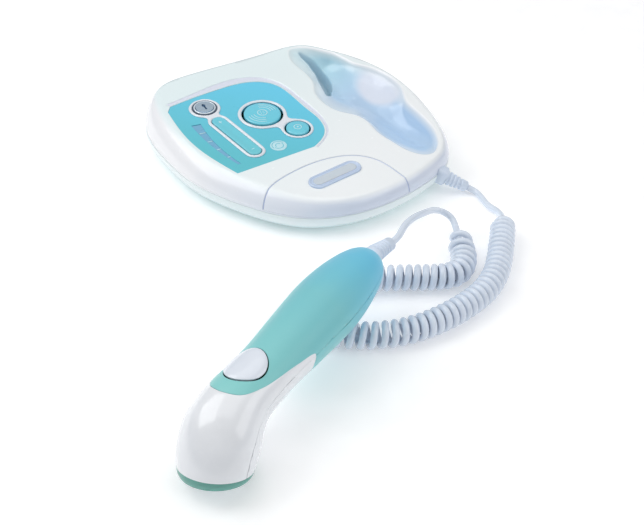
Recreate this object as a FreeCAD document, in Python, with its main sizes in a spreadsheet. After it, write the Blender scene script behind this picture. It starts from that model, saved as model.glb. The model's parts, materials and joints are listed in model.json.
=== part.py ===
import FreeCAD, Part
import math
import os
import Sketcher
from FreeCAD import Placement, Rotation, Vector

# Hair remover with a table base and a corded handset, in millimetres.
# Frame: +Z up, +X along the straight back edge, +Y to the back; the origin is on the
# surface that the base stands on, below the middle of the base.

SIZES = {
    # base shells
    "foot_height": 2.0, "foot_width": 6.0, "seam_height": 16.0, "seam_gap": 0.15,
    "crown_height": 32.0, "crown_tilt": 4.0, "side_wall": 2.4, "crown_wall": 3.4,
    "shoulder_inset": 5.2, "shoulder_left_extra": 7.3,
    "shoulder_turn": 70.0, "underside_inset": 11.5, "underside_turn": 80.0,
    "recess_wall": 2.2, "boss_radius": 4.0, "screw_radius": 1.5, "screw_head_radius": 3.2,
    "screw_head_height": 1.8, "screw_length": 17.0, "screw_sink": 2.4,
    # control panel
    "panel_depth": 1.8, "panel_thickness": 1.5, "groove_depth": 0.7, "bezel_height": 1.0,
    "scan_cap_radius": 13.2, "scan_well_radius": 15.0, "scan_bezel_radius": 17.5,
    "single_cap_radius": 8.1, "single_well_radius": 9.35, "single_bezel_radius": 11.3,
    "cap_rise": 1.5, "cap_depth": 4.8, "flange_height": 1.0, "flange_margin": 1.2,
    "lock_well_radius": 9.0, "lock_bezel_radius": 11.4, "lock_barrel_radius": 6.5,
    "lock_clearance": 0.05, "lock_depth": 13.0, "lock_rise": 1.0, "barrel_rise": 0.8,
    "key_slot_length": 7.0, "key_slot_width": 1.3, "key_slot_depth": 5.0, "key_eye_radius": 1.4,
    "rocker_width": 9.6, "rocker_bezel_width": 15.0, "rocker_reach": 41.8, "rocker_gap": 0.45,
    "rocker_rise": 0.9, "rocker_depth": 2.8, "pivot_radius": 1.0, "pivot_clearance": 0.05,
    "pivot_depth": 5.0, "pivot_length": 9.0, "lug_width": 4.0,
    "emblem_radius": 5.8, "emblem_height": 0.5, "segment_gap": 0.8,
    "badge_length": 41.0, "badge_width": 13.0, "badge_height": 1.2,
    # electronics in the base
    "board_thickness": 1.6, "panel_board_depth": 11.5, "switch_side": 8.0,
    "stem_radius": 1.7, "main_board_height": 6.0,
    "capacitor_radius": 8.0, "capacitor_length": 34.0, "buzzer_radius": 6.0, "buzzer_height": 7.0,
    "power_length": 50.0, "power_width": 28.0, "power_height": 15.0,
    "inlet_radius": 4.2, "inlet_length": 13.0, "inlet_bore_radius": 2.8,
    "inlet_height": 11.0,
    # compartment
    "tray_length": 52.0, "tray_width": 22.0, "tray_height": 13.0, "tray_wall": 1.4, "lid_gap": 0.35,
    # cord
    "cord_diameter": 4.3, "coil_diameter": 16.8, "coil_centre_height": 8.5,
    "gland_length": 16.0, "gland_root_radius": 5.3, "gland_tip_radius": 3.7,
    "gland_groove": 0.8, "gland_ribs": 5, "gland_block_height": 11.5, "gland_block_width": 10.0,
    "gland_block_length": 7.0, "gland_collar": 4.5,
    # handset
    "handset_bend": 70.0, "handset_straight": 121.7, "handset_length": 164.7,
    "handset_roundness": 0.92, "handset_wall": 2.0, "frame_rim": 4.2,
    "glass_thickness": 1.4, "glass_sink": 0.8,
    "trigger_place": 115.0, "trigger_half_length": 12.0, "trigger_half_width": 11.0,
    "trigger_gap": 0.35, "trigger_rise": 1.5, "trigger_bottom": 10.6,
    "handset_board_top": 5.0, "handset_board_length": 88.0, "handset_board_width": 22.0,
    "trigger_switch_height": 3.2, "light_radius": 7.0, "light_length": 38.0, "light_drop": 4.6,
    "mirror_length": 11.0, "mirror_width": 9.0, "mirror_thickness": 1.0,
    "shaft_radius": 0.8, "motor_radius": 3.8, "motor_length": 7.0,
    "sink_length": 26.0, "sink_width": 22.0, "sink_height": 9.0, "fin_count": 6,
}

# Plan of the base at its seam, anticlockwise from the front: a straight back edge, a full
# right side and a front that narrows to a rounded shield.
BASE_OUTLINE = [
    (-17, -80), (14, -84.5), (41, -81.5), (64, -75), (79, -67), (90, -53), (98, -30),
    (103, 0), (102, 32), (93, 60), (80, 81), (64, 95.5), (42, 102.5), (4, 105), (-40, 105.5),
    (-62, 102), (-76, 92.5), (-83, 78), (-86, 58), (-86, 36), (-82, 3), (-72, -23),
    (-58, -47.5), (-41, -67),
]
# Left edge of the control panel, then its top and right edge.
PANEL_LEFT = [(-59.5, -20.5), (-65.4, -3), (-69.8, 14.2), (-71.8, 34.4), (-70.2, 64)]
PANEL_RIGHT = [
    (-66, 69.5), (-46.8, 71.8), (-24.4, 73.1), (-9, 72.6), (4, 68.4), (12.5, 60.5), (16.8, 46),
    (18.2, 24), (19.6, 6.3), (16.6, -6), (9, -14.5), (0, -19.5),
]
GROOVE = [(-66, 74), (-44, 77.6), (-7, 80), (9, 73), (18.5, 59), (22, 37), (23, 4), (18.5, -9), (3, -21)]
# Seam of the compartment lid, from the left end round the arch to the right end.
LID_ARCH = [
    (-75, -63), (-60, -51.5), (-45.6, -42.1), (-30, -37.2), (-12.5, -34.8), (3.6, -35.7),
    (17.5, -40.3), (26.2, -47.4), (31.4, -56.5), (34, -68), (35.8, -81), (37.4, -95),
]
# Hand rest in the top: distance to the back, middle, half width and depth of each section.
RECESS_SECTIONS = [
    (91.5, 57, 5, 2.5), (88.5, 57.5, 13, 11), (83, 58.5, 17.2, 19.5), (72, 60, 18, 25), (52, 61.4, 18.8, 25),
    (32, 64, 19.6, 20.5), (12, 66, 20, 14), (-5, 67, 19.8, 11.6), (-25, 67, 19.8, 12),
    (-42, 67, 18, 11.5), (-54, 67.4, 13.5, 9), (-61, 68, 8, 5.5), (-65, 68.4, 3, 2),
]
FINGER_SCOOP = {"middle": (65.5, 23), "reach": (33, 26), "depth": 11}
LEVEL_INNER_EDGE = [(-56.2, 41), (-57.2, 17), (-52.4, -12)]
LEVEL_OUTER_EDGE = [(-62.8, 42.2), (-61.5, 19), (-54.6, -12)]
LEVEL_COUNT = 5
LOCK_PLACE = (-45.5, 56.2)
SCAN_PLACE = (-12.8, 30.6)
SINGLE_PLACE = (0.6, 3.9)
EMBLEM_PLACE = (-20.8, -6.8)
ROCKER_PLACE = (-41.0, 16.4)
ROCKER_TURN = 98.2
BADGE_PLACE = (-4, -53)
BADGE_TURN = 6
SCREW_PLACES = [(-70, 35), (-42, -36), (40, -58), (26, 88)]
POWER_PLACE = (-52, 56)
CAPACITOR_PLACE = (8, 56)
BUZZER_PLACE = (-20, 10)
INLET_PLACE = (-28, 90)
TRAY_PLACE = (-30, -66.5)

# Handset, in its own frame: +X from the tail to the nose, +Z to the trigger side.
HANDSET_TAIL = (-38.1, -146.9, 38.8)
HANDSET_YAW = 204.6
HANDSET_PITCH = 3.3
HANDSET_ROLL = 11.5
# Distance along the middle line and half width of the sections.
HANDSET_SECTIONS = [
    (0, 6), (2, 9), (6.5, 12.3), (12, 14.6), (22, 17.2), (35, 19.2), (49, 20), (77, 18.5),
    (104, 16.9), (121.7, 17.4), (134, 19.4), (145, 21.4), (156, 21), (161.5, 20.4),
]
GRIP_EDGE = [(83, 0), (87, 2.4), (96, 4.6), (108, 6.4), (119, 8.6), (126, 11.5), (130, 15.5), (131.5, 24)]
HANDSET_SCREWS = [26, 44]
HANDSET_GLAND_AIM = (0.93, 0.33, -0.14)

# Routes of the cord, from the base to the handset.
BASE_GLAND_PLACE = (67.6, -70.6, 14.6)
BASE_GLAND_AIM = (0.70, -0.58, -0.42)
BASE_LEAD = [(87.5, -96, 2.4), (85, -106, 2.3), (86, -116, 3.4)]
COIL_ROUTE = [
    (77, -131), (67, -143), (57.5, -153), (48.5, -162.5), (38, -171.5), (26.5, -178), (14, -182),
    (0, -184.5), (-17, -185.5), (-34, -184), (-50, -179), (-63, -171.5), (-74.5, -162),
    (-81, -150), (-80, -137), (-70.5, -128), (-57.5, -125), (-43, -127.5), (-28, -134),
    (-12, -143), (0, -150), (11, -156), (20, -157.5), (28.5, -152.5), (34.5, -144.5),
    (38.5, -136), (43, -127.5),
]
HANDSET_LEAD = [
    (-2, -129, 36), (10, -123, 33.5), (22, -117.5, 28.5), (33, -111.5, 22.5),
    (43.5, -108, 15.5), (49.5, -112.5, 10.5),
]

doc = FreeCAD.newDocument("hair_remover")
sheet = doc.addObject("Spreadsheet::Sheet", "sizes")
for row, (name, number) in enumerate(SIZES.items(), start=1):
    sheet.set(f"A{row}", name)
    sheet.set(f"B{row}", str(number))
    sheet.setAlias(f"B{row}", name)
sheet.recompute()
sub_parts = []


def value(formula):
    """Number that a formula on the sheet comes to."""
    number = sheet.evalExpression(formula)
    return float(getattr(number, "Value", number))


def size(name):
    """Number in the sheet's cell of that name."""
    return float(sheet.get(name))


def at(x, y, z, axis=(0, 0, 1), turn=0):
    """Placement at a point, turned about an axis through it."""
    return Placement(Vector(x, y, z), Rotation(Vector(*axis), turn))


PANEL_FRAME = at(0, 0, size("crown_height"), (1, 0, 0), size("crown_tilt"))
HANDSET_FRAME = Placement(
    Vector(*HANDSET_TAIL),
    Rotation(Vector(0, 0, 1), HANDSET_YAW)
    * Rotation(Vector(0, 1, 0), HANDSET_PITCH)
    * Rotation(Vector(1, 0, 0), HANDSET_ROLL),
)


def on_panel(x, y, z, turn=0):
    """Placement in the tilted frame of the top."""
    return PANEL_FRAME * at(x, y, z, (0, 0, 1), turn)


def in_handset(x, y, z, axis=(0, 0, 1), turn=0):
    """Placement in the handset's frame."""
    return HANDSET_FRAME * at(x, y, z, axis, turn)


def aimed(place, aim):
    """Placement whose Z axis points along aim."""
    return Placement(Vector(*place), Rotation(Vector(0, 0, 1), Vector(*aim)))


def finish(item, label):
    """Name an object as a sub-part."""
    item.Label = label
    sub_parts.append(item)
    return item


def cylinder(name, radius, height, place):
    item = doc.addObject("Part::Cylinder", name)
    item.setExpression("Radius", radius)
    item.setExpression("Height", height)
    item.Placement = place
    return item


def box(name, length, width, height, place):
    item = doc.addObject("Part::Box", name)
    item.setExpression("Length", length)
    item.setExpression("Width", width)
    item.setExpression("Height", height)
    item.Placement = place
    return item


def solid(name, shape, place=None):
    """Object with a shape of its own."""
    item = doc.addObject("Part::Feature", name)
    item.Shape = shape
    if place:
        item.Placement = place * shape.Placement
    return item


def fuse(name, items):
    item = doc.addObject("Part::MultiFuse", name)
    item.Shapes = items
    item.Refine = False
    return item


def cut(name, base, tools):
    item = doc.addObject("Part::Cut", name)
    item.Base = base
    item.Tool = tools[0] if len(tools) == 1 else fuse(name + "_tools", tools)
    item.Refine = False
    return item


def common(name, items):
    item = doc.addObject("Part::MultiCommon", name)
    item.Shapes = items
    item.Refine = False
    return item


def body_sketch(body, role):
    """Sketch on one of the body's own origin planes."""
    sketch = body.newObject("Sketcher::SketchObject", body.Name + "_sketch")
    plane = next(item for item in body.Origin.OriginFeatures if item.Role == role)
    sketch.AttachmentSupport = (plane, [""])
    sketch.MapMode = "FlatFace"
    return sketch


def bind_corner(sketch, line, kind, formula):
    """Hold the start of a line at a distance from the sketch's origin."""
    distance = value(formula)
    if abs(distance) < 1e-9:
        axis = -2 if kind == "DistanceX" else -1
        sketch.addConstraint(Sketcher.Constraint("PointOnObject", line, 1, axis))
        return
    index = sketch.addConstraint(Sketcher.Constraint(kind, -1, 1, line, 1, distance))
    sketch.setExpression(f"Constraints[{index}]", formula)


def sketch_loop(sketch, corners):
    """Closed loop of straight lines; each corner is a pair of formulas."""
    points = [Vector(value(x), value(y), 0) for x, y in corners]
    first = sketch.GeometryCount
    count = len(corners)
    for i in range(count):
        sketch.addGeometry(Part.LineSegment(points[i], points[(i + 1) % count]), False)
    for i in range(count):
        following = first + (i + 1) % count
        sketch.addConstraint(Sketcher.Constraint("Coincident", first + i, 2, following, 1))
    for i, (x, y) in enumerate(corners):
        bind_corner(sketch, first + i, "DistanceX", x)
        bind_corner(sketch, first + i, "DistanceY", y)


def turned_body(name, profile, place):
    """PartDesign body turned about its Z axis from (radius, height) formulas."""
    body = doc.addObject("PartDesign::Body", name)
    sketch = body_sketch(body, "XZ_Plane")
    sketch_loop(sketch, profile)
    turned = body.newObject("PartDesign::Revolution", name + "_turned")
    turned.Profile = sketch
    turned.ReferenceAxis = (sketch, ["V_Axis"])
    turned.Angle = 360
    body.Tip = turned
    body.Placement = place
    return body


def plate_body(name, corners, thickness, place):
    """PartDesign body padded up from a loop of (x, y) formulas."""
    body = doc.addObject("PartDesign::Body", name)
    sketch = body_sketch(body, "XY_Plane")
    sketch_loop(sketch, corners)
    pad = body.newObject("PartDesign::Pad", name + "_pad")
    pad.Profile = sketch
    pad.setExpression("Length", thickness)
    body.Tip = pad
    body.Placement = place
    return body


def smooth_edge(points, height=0.0, closed=False):
    """Smooth curve through plan points at one height."""
    curve = Part.BSplineCurve()
    curve.interpolate(Points=[Vector(x, y, height) for x, y in points], PeriodicFlag=closed)
    return curve.toShape()


def prism(edges, low, high):
    """Upright solid between two heights from edges that close a loop at height 0."""
    face = Part.Face(Part.Wire(edges))
    face.translate(Vector(0, 0, low))
    return face.extrude(Vector(0, 0, high - low))


def line(start, end):
    return Part.LineSegment(Vector(*start, 0), Vector(*end, 0)).toShape()


def pill(length, width, low, high):
    """Upright solid with two straight sides and two round ends, along X."""
    half = width / 2
    reach = length / 2 - half
    loop = [
        line((-reach, -half), (reach, -half)),
        Part.Arc(Vector(reach, -half, 0), Vector(reach + half, 0, 0), Vector(reach, half, 0)).toShape(),
        line((reach, half), (-reach, half)),
        Part.Arc(Vector(-reach, half, 0), Vector(-reach - half, 0, 0), Vector(-reach, -half, 0)).toShape(),
    ]
    return prism(loop, low, high)


# ---- base shells -----------------------------------------------------------------------

base_curve = Part.BSplineCurve()
base_curve.interpolate(Points=[Vector(x, y, 0) for x, y in BASE_OUTLINE], PeriodicFlag=True)


def crown_at(y):
    """Height of the tilted top above a point of the plan."""
    return size("crown_height") + y * math.tan(math.radians(size("crown_tilt")))


def base_section(inset, height_at):
    """The outline moved inwards by inset(normal), at the height that height_at(y) gives."""
    points = []
    for x, y in BASE_OUTLINE:
        tangent = base_curve.tangent(base_curve.parameter(Vector(x, y, 0)))[0]
        normal = Vector(tangent.y, -tangent.x, 0)
        moved = Vector(x, y, 0) - normal * inset(normal)
        points.append(Vector(moved.x, moved.y, height_at(moved.y)))
    curve = Part.BSplineCurve()
    curve.interpolate(Points=points, PeriodicFlag=True)
    return Part.Wire(curve.toShape())


def shoulder(normal):
    """Inset of the top's edge from the seam: the left side slopes in furthest."""
    return size("shoulder_inset") + size("shoulder_left_extra") * min(normal.x, 0) ** 2


def upper_solid(wall, crown_wall, start):
    """Solid inside the upper shell's surface moved inwards by the wall."""
    seam = size("seam_height")
    full_turn = size("shoulder_turn")
    sections = [base_section(lambda n: wall, lambda y: start)] if start < seam else []
    for step in range(6):
        turn = math.radians(full_turn * step / 5)
        shrink = (1 - math.cos(turn)) / (1 - math.cos(math.radians(full_turn)))
        rise = math.sin(turn) / math.sin(math.radians(full_turn))
        sections.append(base_section(
            lambda n: wall + shrink * shoulder(n),
            lambda y: seam + rise * (crown_at(y) - crown_wall - seam),
        ))
    return Part.makeLoft(sections, True, False)


def lower_solid(wall, start, floor):
    """Solid inside the lower shell's surface moved inwards by the wall."""
    seam = size("seam_height") - size("seam_gap")
    full_turn = size("underside_turn")
    sections = []
    for step in range(6):
        turn = math.radians(full_turn * (5 - step) / 5)
        shrink = (1 - math.cos(turn)) / (1 - math.cos(math.radians(full_turn)))
        drop = math.sin(turn) / math.sin(math.radians(full_turn))
        sections.append(base_section(
            lambda n: wall + shrink * size("underside_inset"),
            lambda y: seam - drop * (seam - floor),
        ))
    if start > seam:
        sections.append(base_section(lambda n: wall, lambda y: start))
    return Part.makeLoft(sections, True, False)


def recess_solid(wall):
    """Space of the hand rest, grown by the wall: a trough and a finger scoop across it."""
    above = 60
    sections = []
    for index, (y, middle, half, depth) in enumerate(RECESS_SECTIONS):
        end = {0: wall, len(RECESS_SECTIONS) - 1: -wall}.get(index, 0)
        top = crown_at(y) + 2
        arc = []
        for step in range(9):
            turn = math.radians(180 + 180 * step / 8)
            across = math.copysign(abs(math.cos(turn)) ** 0.75, math.cos(turn))
            down = abs(math.sin(turn)) ** 0.85
            arc.append(Vector(middle + (half + wall) * across, y + end, top - 2 - (depth + wall) * down))
        curve = Part.BSplineCurve()
        curve.interpolate(Points=arc)
        left = Vector(arc[0].x, arc[0].y, above)
        right = Vector(arc[-1].x, arc[-1].y, above)
        sections.append(Part.Wire([
            curve.toShape(),
            Part.LineSegment(arc[-1], right).toShape(),
            Part.LineSegment(right, left).toShape(),
            Part.LineSegment(left, arc[0]).toShape(),
        ]))
    trough = Part.makeLoft(sections, True, False)
    x, y = FINGER_SCOOP["middle"]
    reach_x, reach_y = FINGER_SCOOP["reach"]
    scale = FreeCAD.Matrix()
    scale.scale(reach_x + wall, reach_y + wall, FINGER_SCOOP["depth"] + wall)
    scoop = Part.makeSphere(1).transformGeometry(scale)
    scoop.translate(Vector(x, y, crown_at(y)))
    return trough.fuse(scoop)


def lid_prism(shift, low):
    """Upright solid inside the lid's seam, moved to the front by the shift."""
    arch = smooth_edge(LID_ARCH)
    corner = Vector(LID_ARCH[0][0], LID_ARCH[-1][1], 0)
    block = prism([arch, line(LID_ARCH[-1], corner[:2]), line(corner[:2], LID_ARCH[0])], low, 60)
    block.translate(Vector(0, -shift, 0))
    return block


def panel_loop():
    """Edges of the control panel, anticlockwise from its front left corner."""
    return [
        smooth_edge(PANEL_LEFT),
        line(PANEL_LEFT[-1], PANEL_RIGHT[0]),
        smooth_edge(PANEL_RIGHT),
        line(PANEL_RIGHT[-1], PANEL_LEFT[0]),
    ]


def well(name, place, radius):
    """Round hole through the top, in the panel's frame."""
    return cylinder(name, radius, "24", on_panel(*place, -12))


def rocker_prism(margin, low, high):
    """Upright solid in the shape of the long pad, grown by the margin."""
    width = size("rocker_width") + 2 * margin
    block = pill(size("rocker_reach") + width, width, low, high)
    block.Placement = at(*ROCKER_PLACE, 0, (0, 0, 1), ROCKER_TURN)
    return block


def segment_prism(start, end, low, high):
    """Piece of the tapered level bar between two fractions of its length."""
    inner = Part.Arc(*(Vector(x, y, 0) for x, y in LEVEL_INNER_EDGE)).toShape()
    outer = Part.Arc(*(Vector(x, y, 0) for x, y in LEVEL_OUTER_EDGE)).toShape()

    def along(edge, part):
        return edge.valueAt(edge.FirstParameter + part * (edge.LastParameter - edge.FirstParameter))

    middle = (start + end) / 2
    loop = [
        Part.Arc(along(inner, start), along(inner, middle), along(inner, end)).toShape(),
        Part.LineSegment(along(inner, end), along(outer, end)).toShape(),
        Part.Arc(along(outer, end), along(outer, middle), along(outer, start)).toShape(),
        Part.LineSegment(along(outer, start), along(inner, start)).toShape(),
    ]
    return prism(loop, low, high)


def gland_space(name):
    """Opening in the shells' edge for the block of the base's cord sleeve."""
    height = size("gland_block_height") + 0.2
    width = size("gland_block_width") + 0.2
    place = aimed(BASE_GLAND_PLACE, BASE_GLAND_AIM) * at(-height / 2, -width / 2, -0.1)
    return box(name, "sizes.gland_block_height + 0.2", "sizes.gland_block_width + 0.2", "30", place)


def make_upper_shell():
    """Top shell with the hand rest, the panel's recess and the wells; returns its outer and inner solids."""
    outer = solid("upper_outer", upper_solid(0, 0, size("seam_height")))
    inner = solid("upper_inner", upper_solid(size("side_wall"), size("crown_wall"), size("seam_height") - 4))
    blank = cut("upper_blank", outer, [inner])
    recess_outer = solid("recess_outer", recess_solid(size("recess_wall")))
    recess = solid("recess_space", recess_solid(0))
    lining = common("recess_lining", [outer, recess_outer])
    bosses = []
    for number, (x, y) in enumerate(SCREW_PLACES, start=1):
        post = cylinder(f"upper_boss_{number}", "sizes.boss_radius", f"{crown_at(y) - 1} - sizes.seam_height",
                        at(x, y, size("seam_height")))
        bosses.append(post)
    whole = fuse("upper_whole", [blank, lining] + bosses)
    pilots = [
        cylinder(f"upper_pilot_{number}", "sizes.screw_radius", "sizes.screw_length",
                 at(x, y, size("screw_sink")))
        for number, (x, y) in enumerate(SCREW_PLACES, start=1)
    ]
    depth = size("panel_depth")
    panel_space = solid("panel_space", prism(panel_loop(), -depth, 6), PANEL_FRAME)
    groove_loop = [smooth_edge(GROOVE), line(GROOVE[-1], PANEL_LEFT[0])]
    groove_loop += [smooth_edge(PANEL_LEFT), line(PANEL_LEFT[-1], GROOVE[0])]
    groove = solid("groove_space", prism(groove_loop, -size("groove_depth"), 6), PANEL_FRAME)
    wells = [
        well("scan_well", SCAN_PLACE, "sizes.scan_well_radius"),
        well("single_well", SINGLE_PLACE, "sizes.single_well_radius"),
        well("lock_well", LOCK_PLACE, "sizes.lock_well_radius"),
        solid("rocker_well", rocker_prism(size("rocker_gap"), -12, 12), PANEL_FRAME),
    ]
    tools = [recess, panel_space, groove, solid("lid_space", lid_prism(0, size("seam_height") - 3)), gland_space("upper_gland_space")]
    tools += pilots + wells
    finish(cut("upper_shell", whole, tools), "base_upper_shell")
    return outer, inner


def make_lower_shell():
    seam = size("seam_height")
    outer = solid("lower_outer", lower_solid(0, 0, size("foot_height")))
    inner = solid("lower_inner", lower_solid(size("side_wall"), seam + 4, size("foot_height") + size("side_wall")))
    tub = cut("lower_tub", outer, [inner])
    bosses = []
    holes = []
    for number, (x, y) in enumerate(SCREW_PLACES, start=1):
        low = size("foot_height")
        bosses.append(cylinder(f"lower_boss_{number}", "sizes.boss_radius",
                               "sizes.seam_height - sizes.foot_height", at(x, y, low)))
        holes.append(cylinder(f"shank_hole_{number}", "sizes.screw_radius + 0.2", "sizes.seam_height", at(x, y, low)))
        holes.append(cylinder(f"head_hole_{number}", "sizes.screw_head_radius + 0.3",
                              "sizes.screw_sink + sizes.screw_head_height", at(x, y, 0)))
    inlet_hole = cylinder("inlet_hole", "sizes.inlet_radius + 0.1", "sizes.inlet_length + 10",
                          at(INLET_PLACE[0], INLET_PLACE[1], size("inlet_height"), (1, 0, 0), -90))
    whole = fuse("lower_whole", [tub] + bosses)
    finish(cut("lower_shell", whole, holes + [inlet_hole, gland_space("lower_gland_space")]), "base_lower_shell")


def make_foot_ring():
    """Rubber ring that the base stands on, just inside the edge of its underside."""
    edge = size("underside_inset") + 2

    def ring_face(inset):
        return Part.Face(base_section(lambda n: inset, lambda y: 0))

    ring = ring_face(edge).cut(ring_face(edge + size("foot_width")))
    finish(solid("foot_ring", ring.extrude(Vector(0, 0, size("foot_height")))), "base_foot_ring")


def make_screws():
    for number, (x, y) in enumerate(SCREW_PLACES, start=1):
        head = "sizes.screw_head_radius"
        shank = "sizes.screw_radius"
        sunk = "sizes.screw_head_height"
        profile = [("0", "0"), (head, "0"), (head, sunk), (shank, sunk), (shank, "sizes.screw_length"),
                   ("0", "sizes.screw_length")]
        body = turned_body(f"base_screw_body_{number}", profile, at(x, y, size("screw_sink")))
        finish(body, f"base_screw_{number}")


def make_lid(outer, inner):
    block = solid("lid_block", lid_prism(size("lid_gap"), size("seam_height") + size("lid_gap")))
    finish(cut("lid_shape", common("lid_front", [outer, block]), [inner]), "compartment_lid")
    badge = pill(size("badge_length"), size("badge_width"), 0, size("badge_height"))
    rim = max(badge.Edges, key=lambda edge: edge.BoundBox.ZMin + edge.Length / 1000)
    top = [edge for edge in badge.Edges if edge.BoundBox.ZMin > rim.BoundBox.ZMin - 0.01]
    finish(solid("badge", badge.makeFillet(0.8, top), on_panel(*BADGE_PLACE, 0, BADGE_TURN)), "lid_badge")


def make_tray():
    place = at(*TRAY_PLACE, size("foot_height") + size("side_wall") + 2.6)
    outer = box("tray_outer", "sizes.tray_length", "sizes.tray_width", "sizes.tray_height", place)
    wall = size("tray_wall")
    inner = box("tray_inner", "sizes.tray_length - 2 * sizes.tray_wall",
                "sizes.tray_width - 2 * sizes.tray_wall", "sizes.tray_height",
                place * at(wall, wall, wall))
    finish(cut("tray", outer, [inner]), "compartment_tray")


# ---- control panel ---------------------------------------------------------------------

def make_panel():
    low = -size("panel_depth")
    plate = solid("panel_plate", prism(panel_loop(), low, low + size("panel_thickness")), PANEL_FRAME)
    wells = [
        well("panel_scan_well", SCAN_PLACE, "sizes.scan_well_radius"),
        well("panel_single_well", SINGLE_PLACE, "sizes.single_well_radius"),
        well("panel_lock_well", LOCK_PLACE, "sizes.lock_well_radius"),
        solid("panel_rocker_well", rocker_prism(size("rocker_gap"), -12, 12), PANEL_FRAME),
        solid("level_slot", segment_prism(0, 1, -12, 12), PANEL_FRAME),
    ]
    finish(cut("panel", plate, wells), "control_panel")


def neck(name, start, end, width):
    """Flat bar from one place on the panel to another."""
    dx = end[0] - start[0]
    dy = end[1] - start[1]
    turn = math.degrees(math.atan2(dy, dx))
    place = on_panel(*start, bezel_low(), turn) * at(0, -width / 2, 0)
    return box(name, f"{math.hypot(dx, dy)}", f"{width}", "sizes.bezel_height", place)


def bezel_low():
    """Height of the panel's face in the panel's frame."""
    return size("panel_thickness") - size("panel_depth")


def make_bezels():
    low = bezel_low()
    rings = [
        cylinder("scan_ring", "sizes.scan_bezel_radius", "sizes.bezel_height", on_panel(*SCAN_PLACE, low)),
        cylinder("single_ring", "sizes.single_bezel_radius", "sizes.bezel_height", on_panel(*SINGLE_PLACE, low)),
        neck("button_neck", SCAN_PLACE, SINGLE_PLACE, 12),
    ]
    wells = [
        well("bezel_scan_well", SCAN_PLACE, "sizes.scan_well_radius"),
        well("bezel_single_well", SINGLE_PLACE, "sizes.single_well_radius"),
    ]
    finish(cut("button_rings", fuse("button_ring_blank", rings), wells), "button_bezel")
    margin = (size("rocker_bezel_width") - size("rocker_width")) / 2
    pad_rim = solid("rocker_rim", rocker_prism(margin, low, low + size("bezel_height")), PANEL_FRAME)
    lock_ring = cylinder("lock_ring", "sizes.lock_bezel_radius", "sizes.bezel_height", on_panel(*LOCK_PLACE, low))
    key_wells = [
        well("bezel_lock_well", LOCK_PLACE, "sizes.lock_well_radius"),
        solid("bezel_rocker_well", rocker_prism(size("rocker_gap"), -12, 12), PANEL_FRAME),
    ]
    bar = neck("lock_neck", LOCK_PLACE, ROCKER_PLACE, 9)
    blank = fuse("key_ring_blank", [pad_rim, lock_ring, bar])
    finish(cut("key_rings", blank, key_wells), "key_bezel")


def make_button(label, place, radius, dome):
    """Cap with a domed face, and a flange below the shell that keeps it in its well."""
    depth = size("cap_depth")
    height = "sizes.cap_depth + sizes.cap_rise"
    crown = cylinder(label + "_crown", radius, height, on_panel(*place, -depth))
    ball = doc.addObject("Part::Sphere", label + "_ball")
    ball.Radius = dome
    ball.Placement = on_panel(*place, size("cap_rise") - dome)
    domed = common(label + "_domed", [crown, ball])
    well_radius = radius.replace("_cap_", "_well_")
    flange = cylinder(label + "_flange", f"{well_radius} + sizes.flange_margin", "sizes.flange_height",
                      on_panel(*place, -depth - size("flange_height")))
    finish(fuse(label + "_cap", [domed, flange]), label)


def make_lock():
    low = bezel_low()
    depth = size("lock_depth")
    case = cylinder("lock_case", "sizes.lock_well_radius - 0.1", "sizes.lock_depth + sizes.lock_rise + %g" % low,
                    on_panel(*LOCK_PLACE, -depth))
    bore = cylinder("lock_bore", "sizes.lock_barrel_radius + sizes.lock_clearance", "40", on_panel(*LOCK_PLACE, -20))
    finish(cut("lock_housing", case, [bore]), "key_lock_housing")
    rise = low + size("lock_rise") + size("barrel_rise")
    barrel = cylinder("lock_barrel", "sizes.lock_barrel_radius", f"sizes.lock_depth + {rise}",
                      on_panel(*LOCK_PLACE, -depth))
    slot_place = on_panel(*LOCK_PLACE, rise - size("key_slot_depth"), 90)
    slot_place = slot_place * at(-size("key_slot_length") / 2, -size("key_slot_width") / 2, 0)
    slot = box("key_slot", "sizes.key_slot_length", "sizes.key_slot_width", "sizes.key_slot_depth + 1", slot_place)
    eye = cylinder("key_eye", "sizes.key_eye_radius", "sizes.key_slot_depth + 1",
                   on_panel(LOCK_PLACE[0], LOCK_PLACE[1] + 1.6, rise - size("key_slot_depth")))
    finish(cut("lock_barrel_cut", barrel, [slot, eye]), "key_lock_barrel")


def rocker_place(x, y, z):
    """Placement in the long pad's frame, whose X axis runs along it."""
    return on_panel(*ROCKER_PLACE, 0, ROCKER_TURN) * at(x, y, z)


def make_rocker():
    pad = solid("rocker_pad", rocker_prism(0, -size("rocker_depth"), size("rocker_rise")), PANEL_FRAME)
    width = size("lug_width")
    bottom = -size("pivot_depth") - 2
    lug = box("rocker_lug", "sizes.lug_width", "sizes.lug_width", f"{-bottom} - sizes.rocker_depth + 0.5",
              rocker_place(-width / 2, -width / 2, bottom))
    turn = Rotation(Vector(1, 0, 0), 90)
    bore_place = rocker_place(0, 6, -size("pivot_depth")) * Placement(Vector(0, 0, 0), turn)
    bore = cylinder("rocker_bore", "sizes.pivot_radius + sizes.pivot_clearance", "12", bore_place)
    finish(cut("rocker", fuse("rocker_blank", [pad, lug]), [bore]), "level_rocker")
    half = size("pivot_length") / 2
    pin_place = rocker_place(0, half, -size("pivot_depth")) * Placement(Vector(0, 0, 0), turn)
    pin = cylinder("rocker_pin", "sizes.pivot_radius", "sizes.pivot_length", pin_place)
    board_top = -size("panel_board_depth") + size("board_thickness")
    cheeks = [
        box(f"pivot_cheek_{number}", "sizes.lug_width", "1.5", f"{-board_top} - sizes.pivot_depth + 1.6",
            rocker_place(-width / 2, across, board_top))
        for number, across in enumerate((-4.2, 2.7), start=1)
    ]
    finish(fuse("pivot", [pin] + cheeks), "rocker_pivot")


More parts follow.
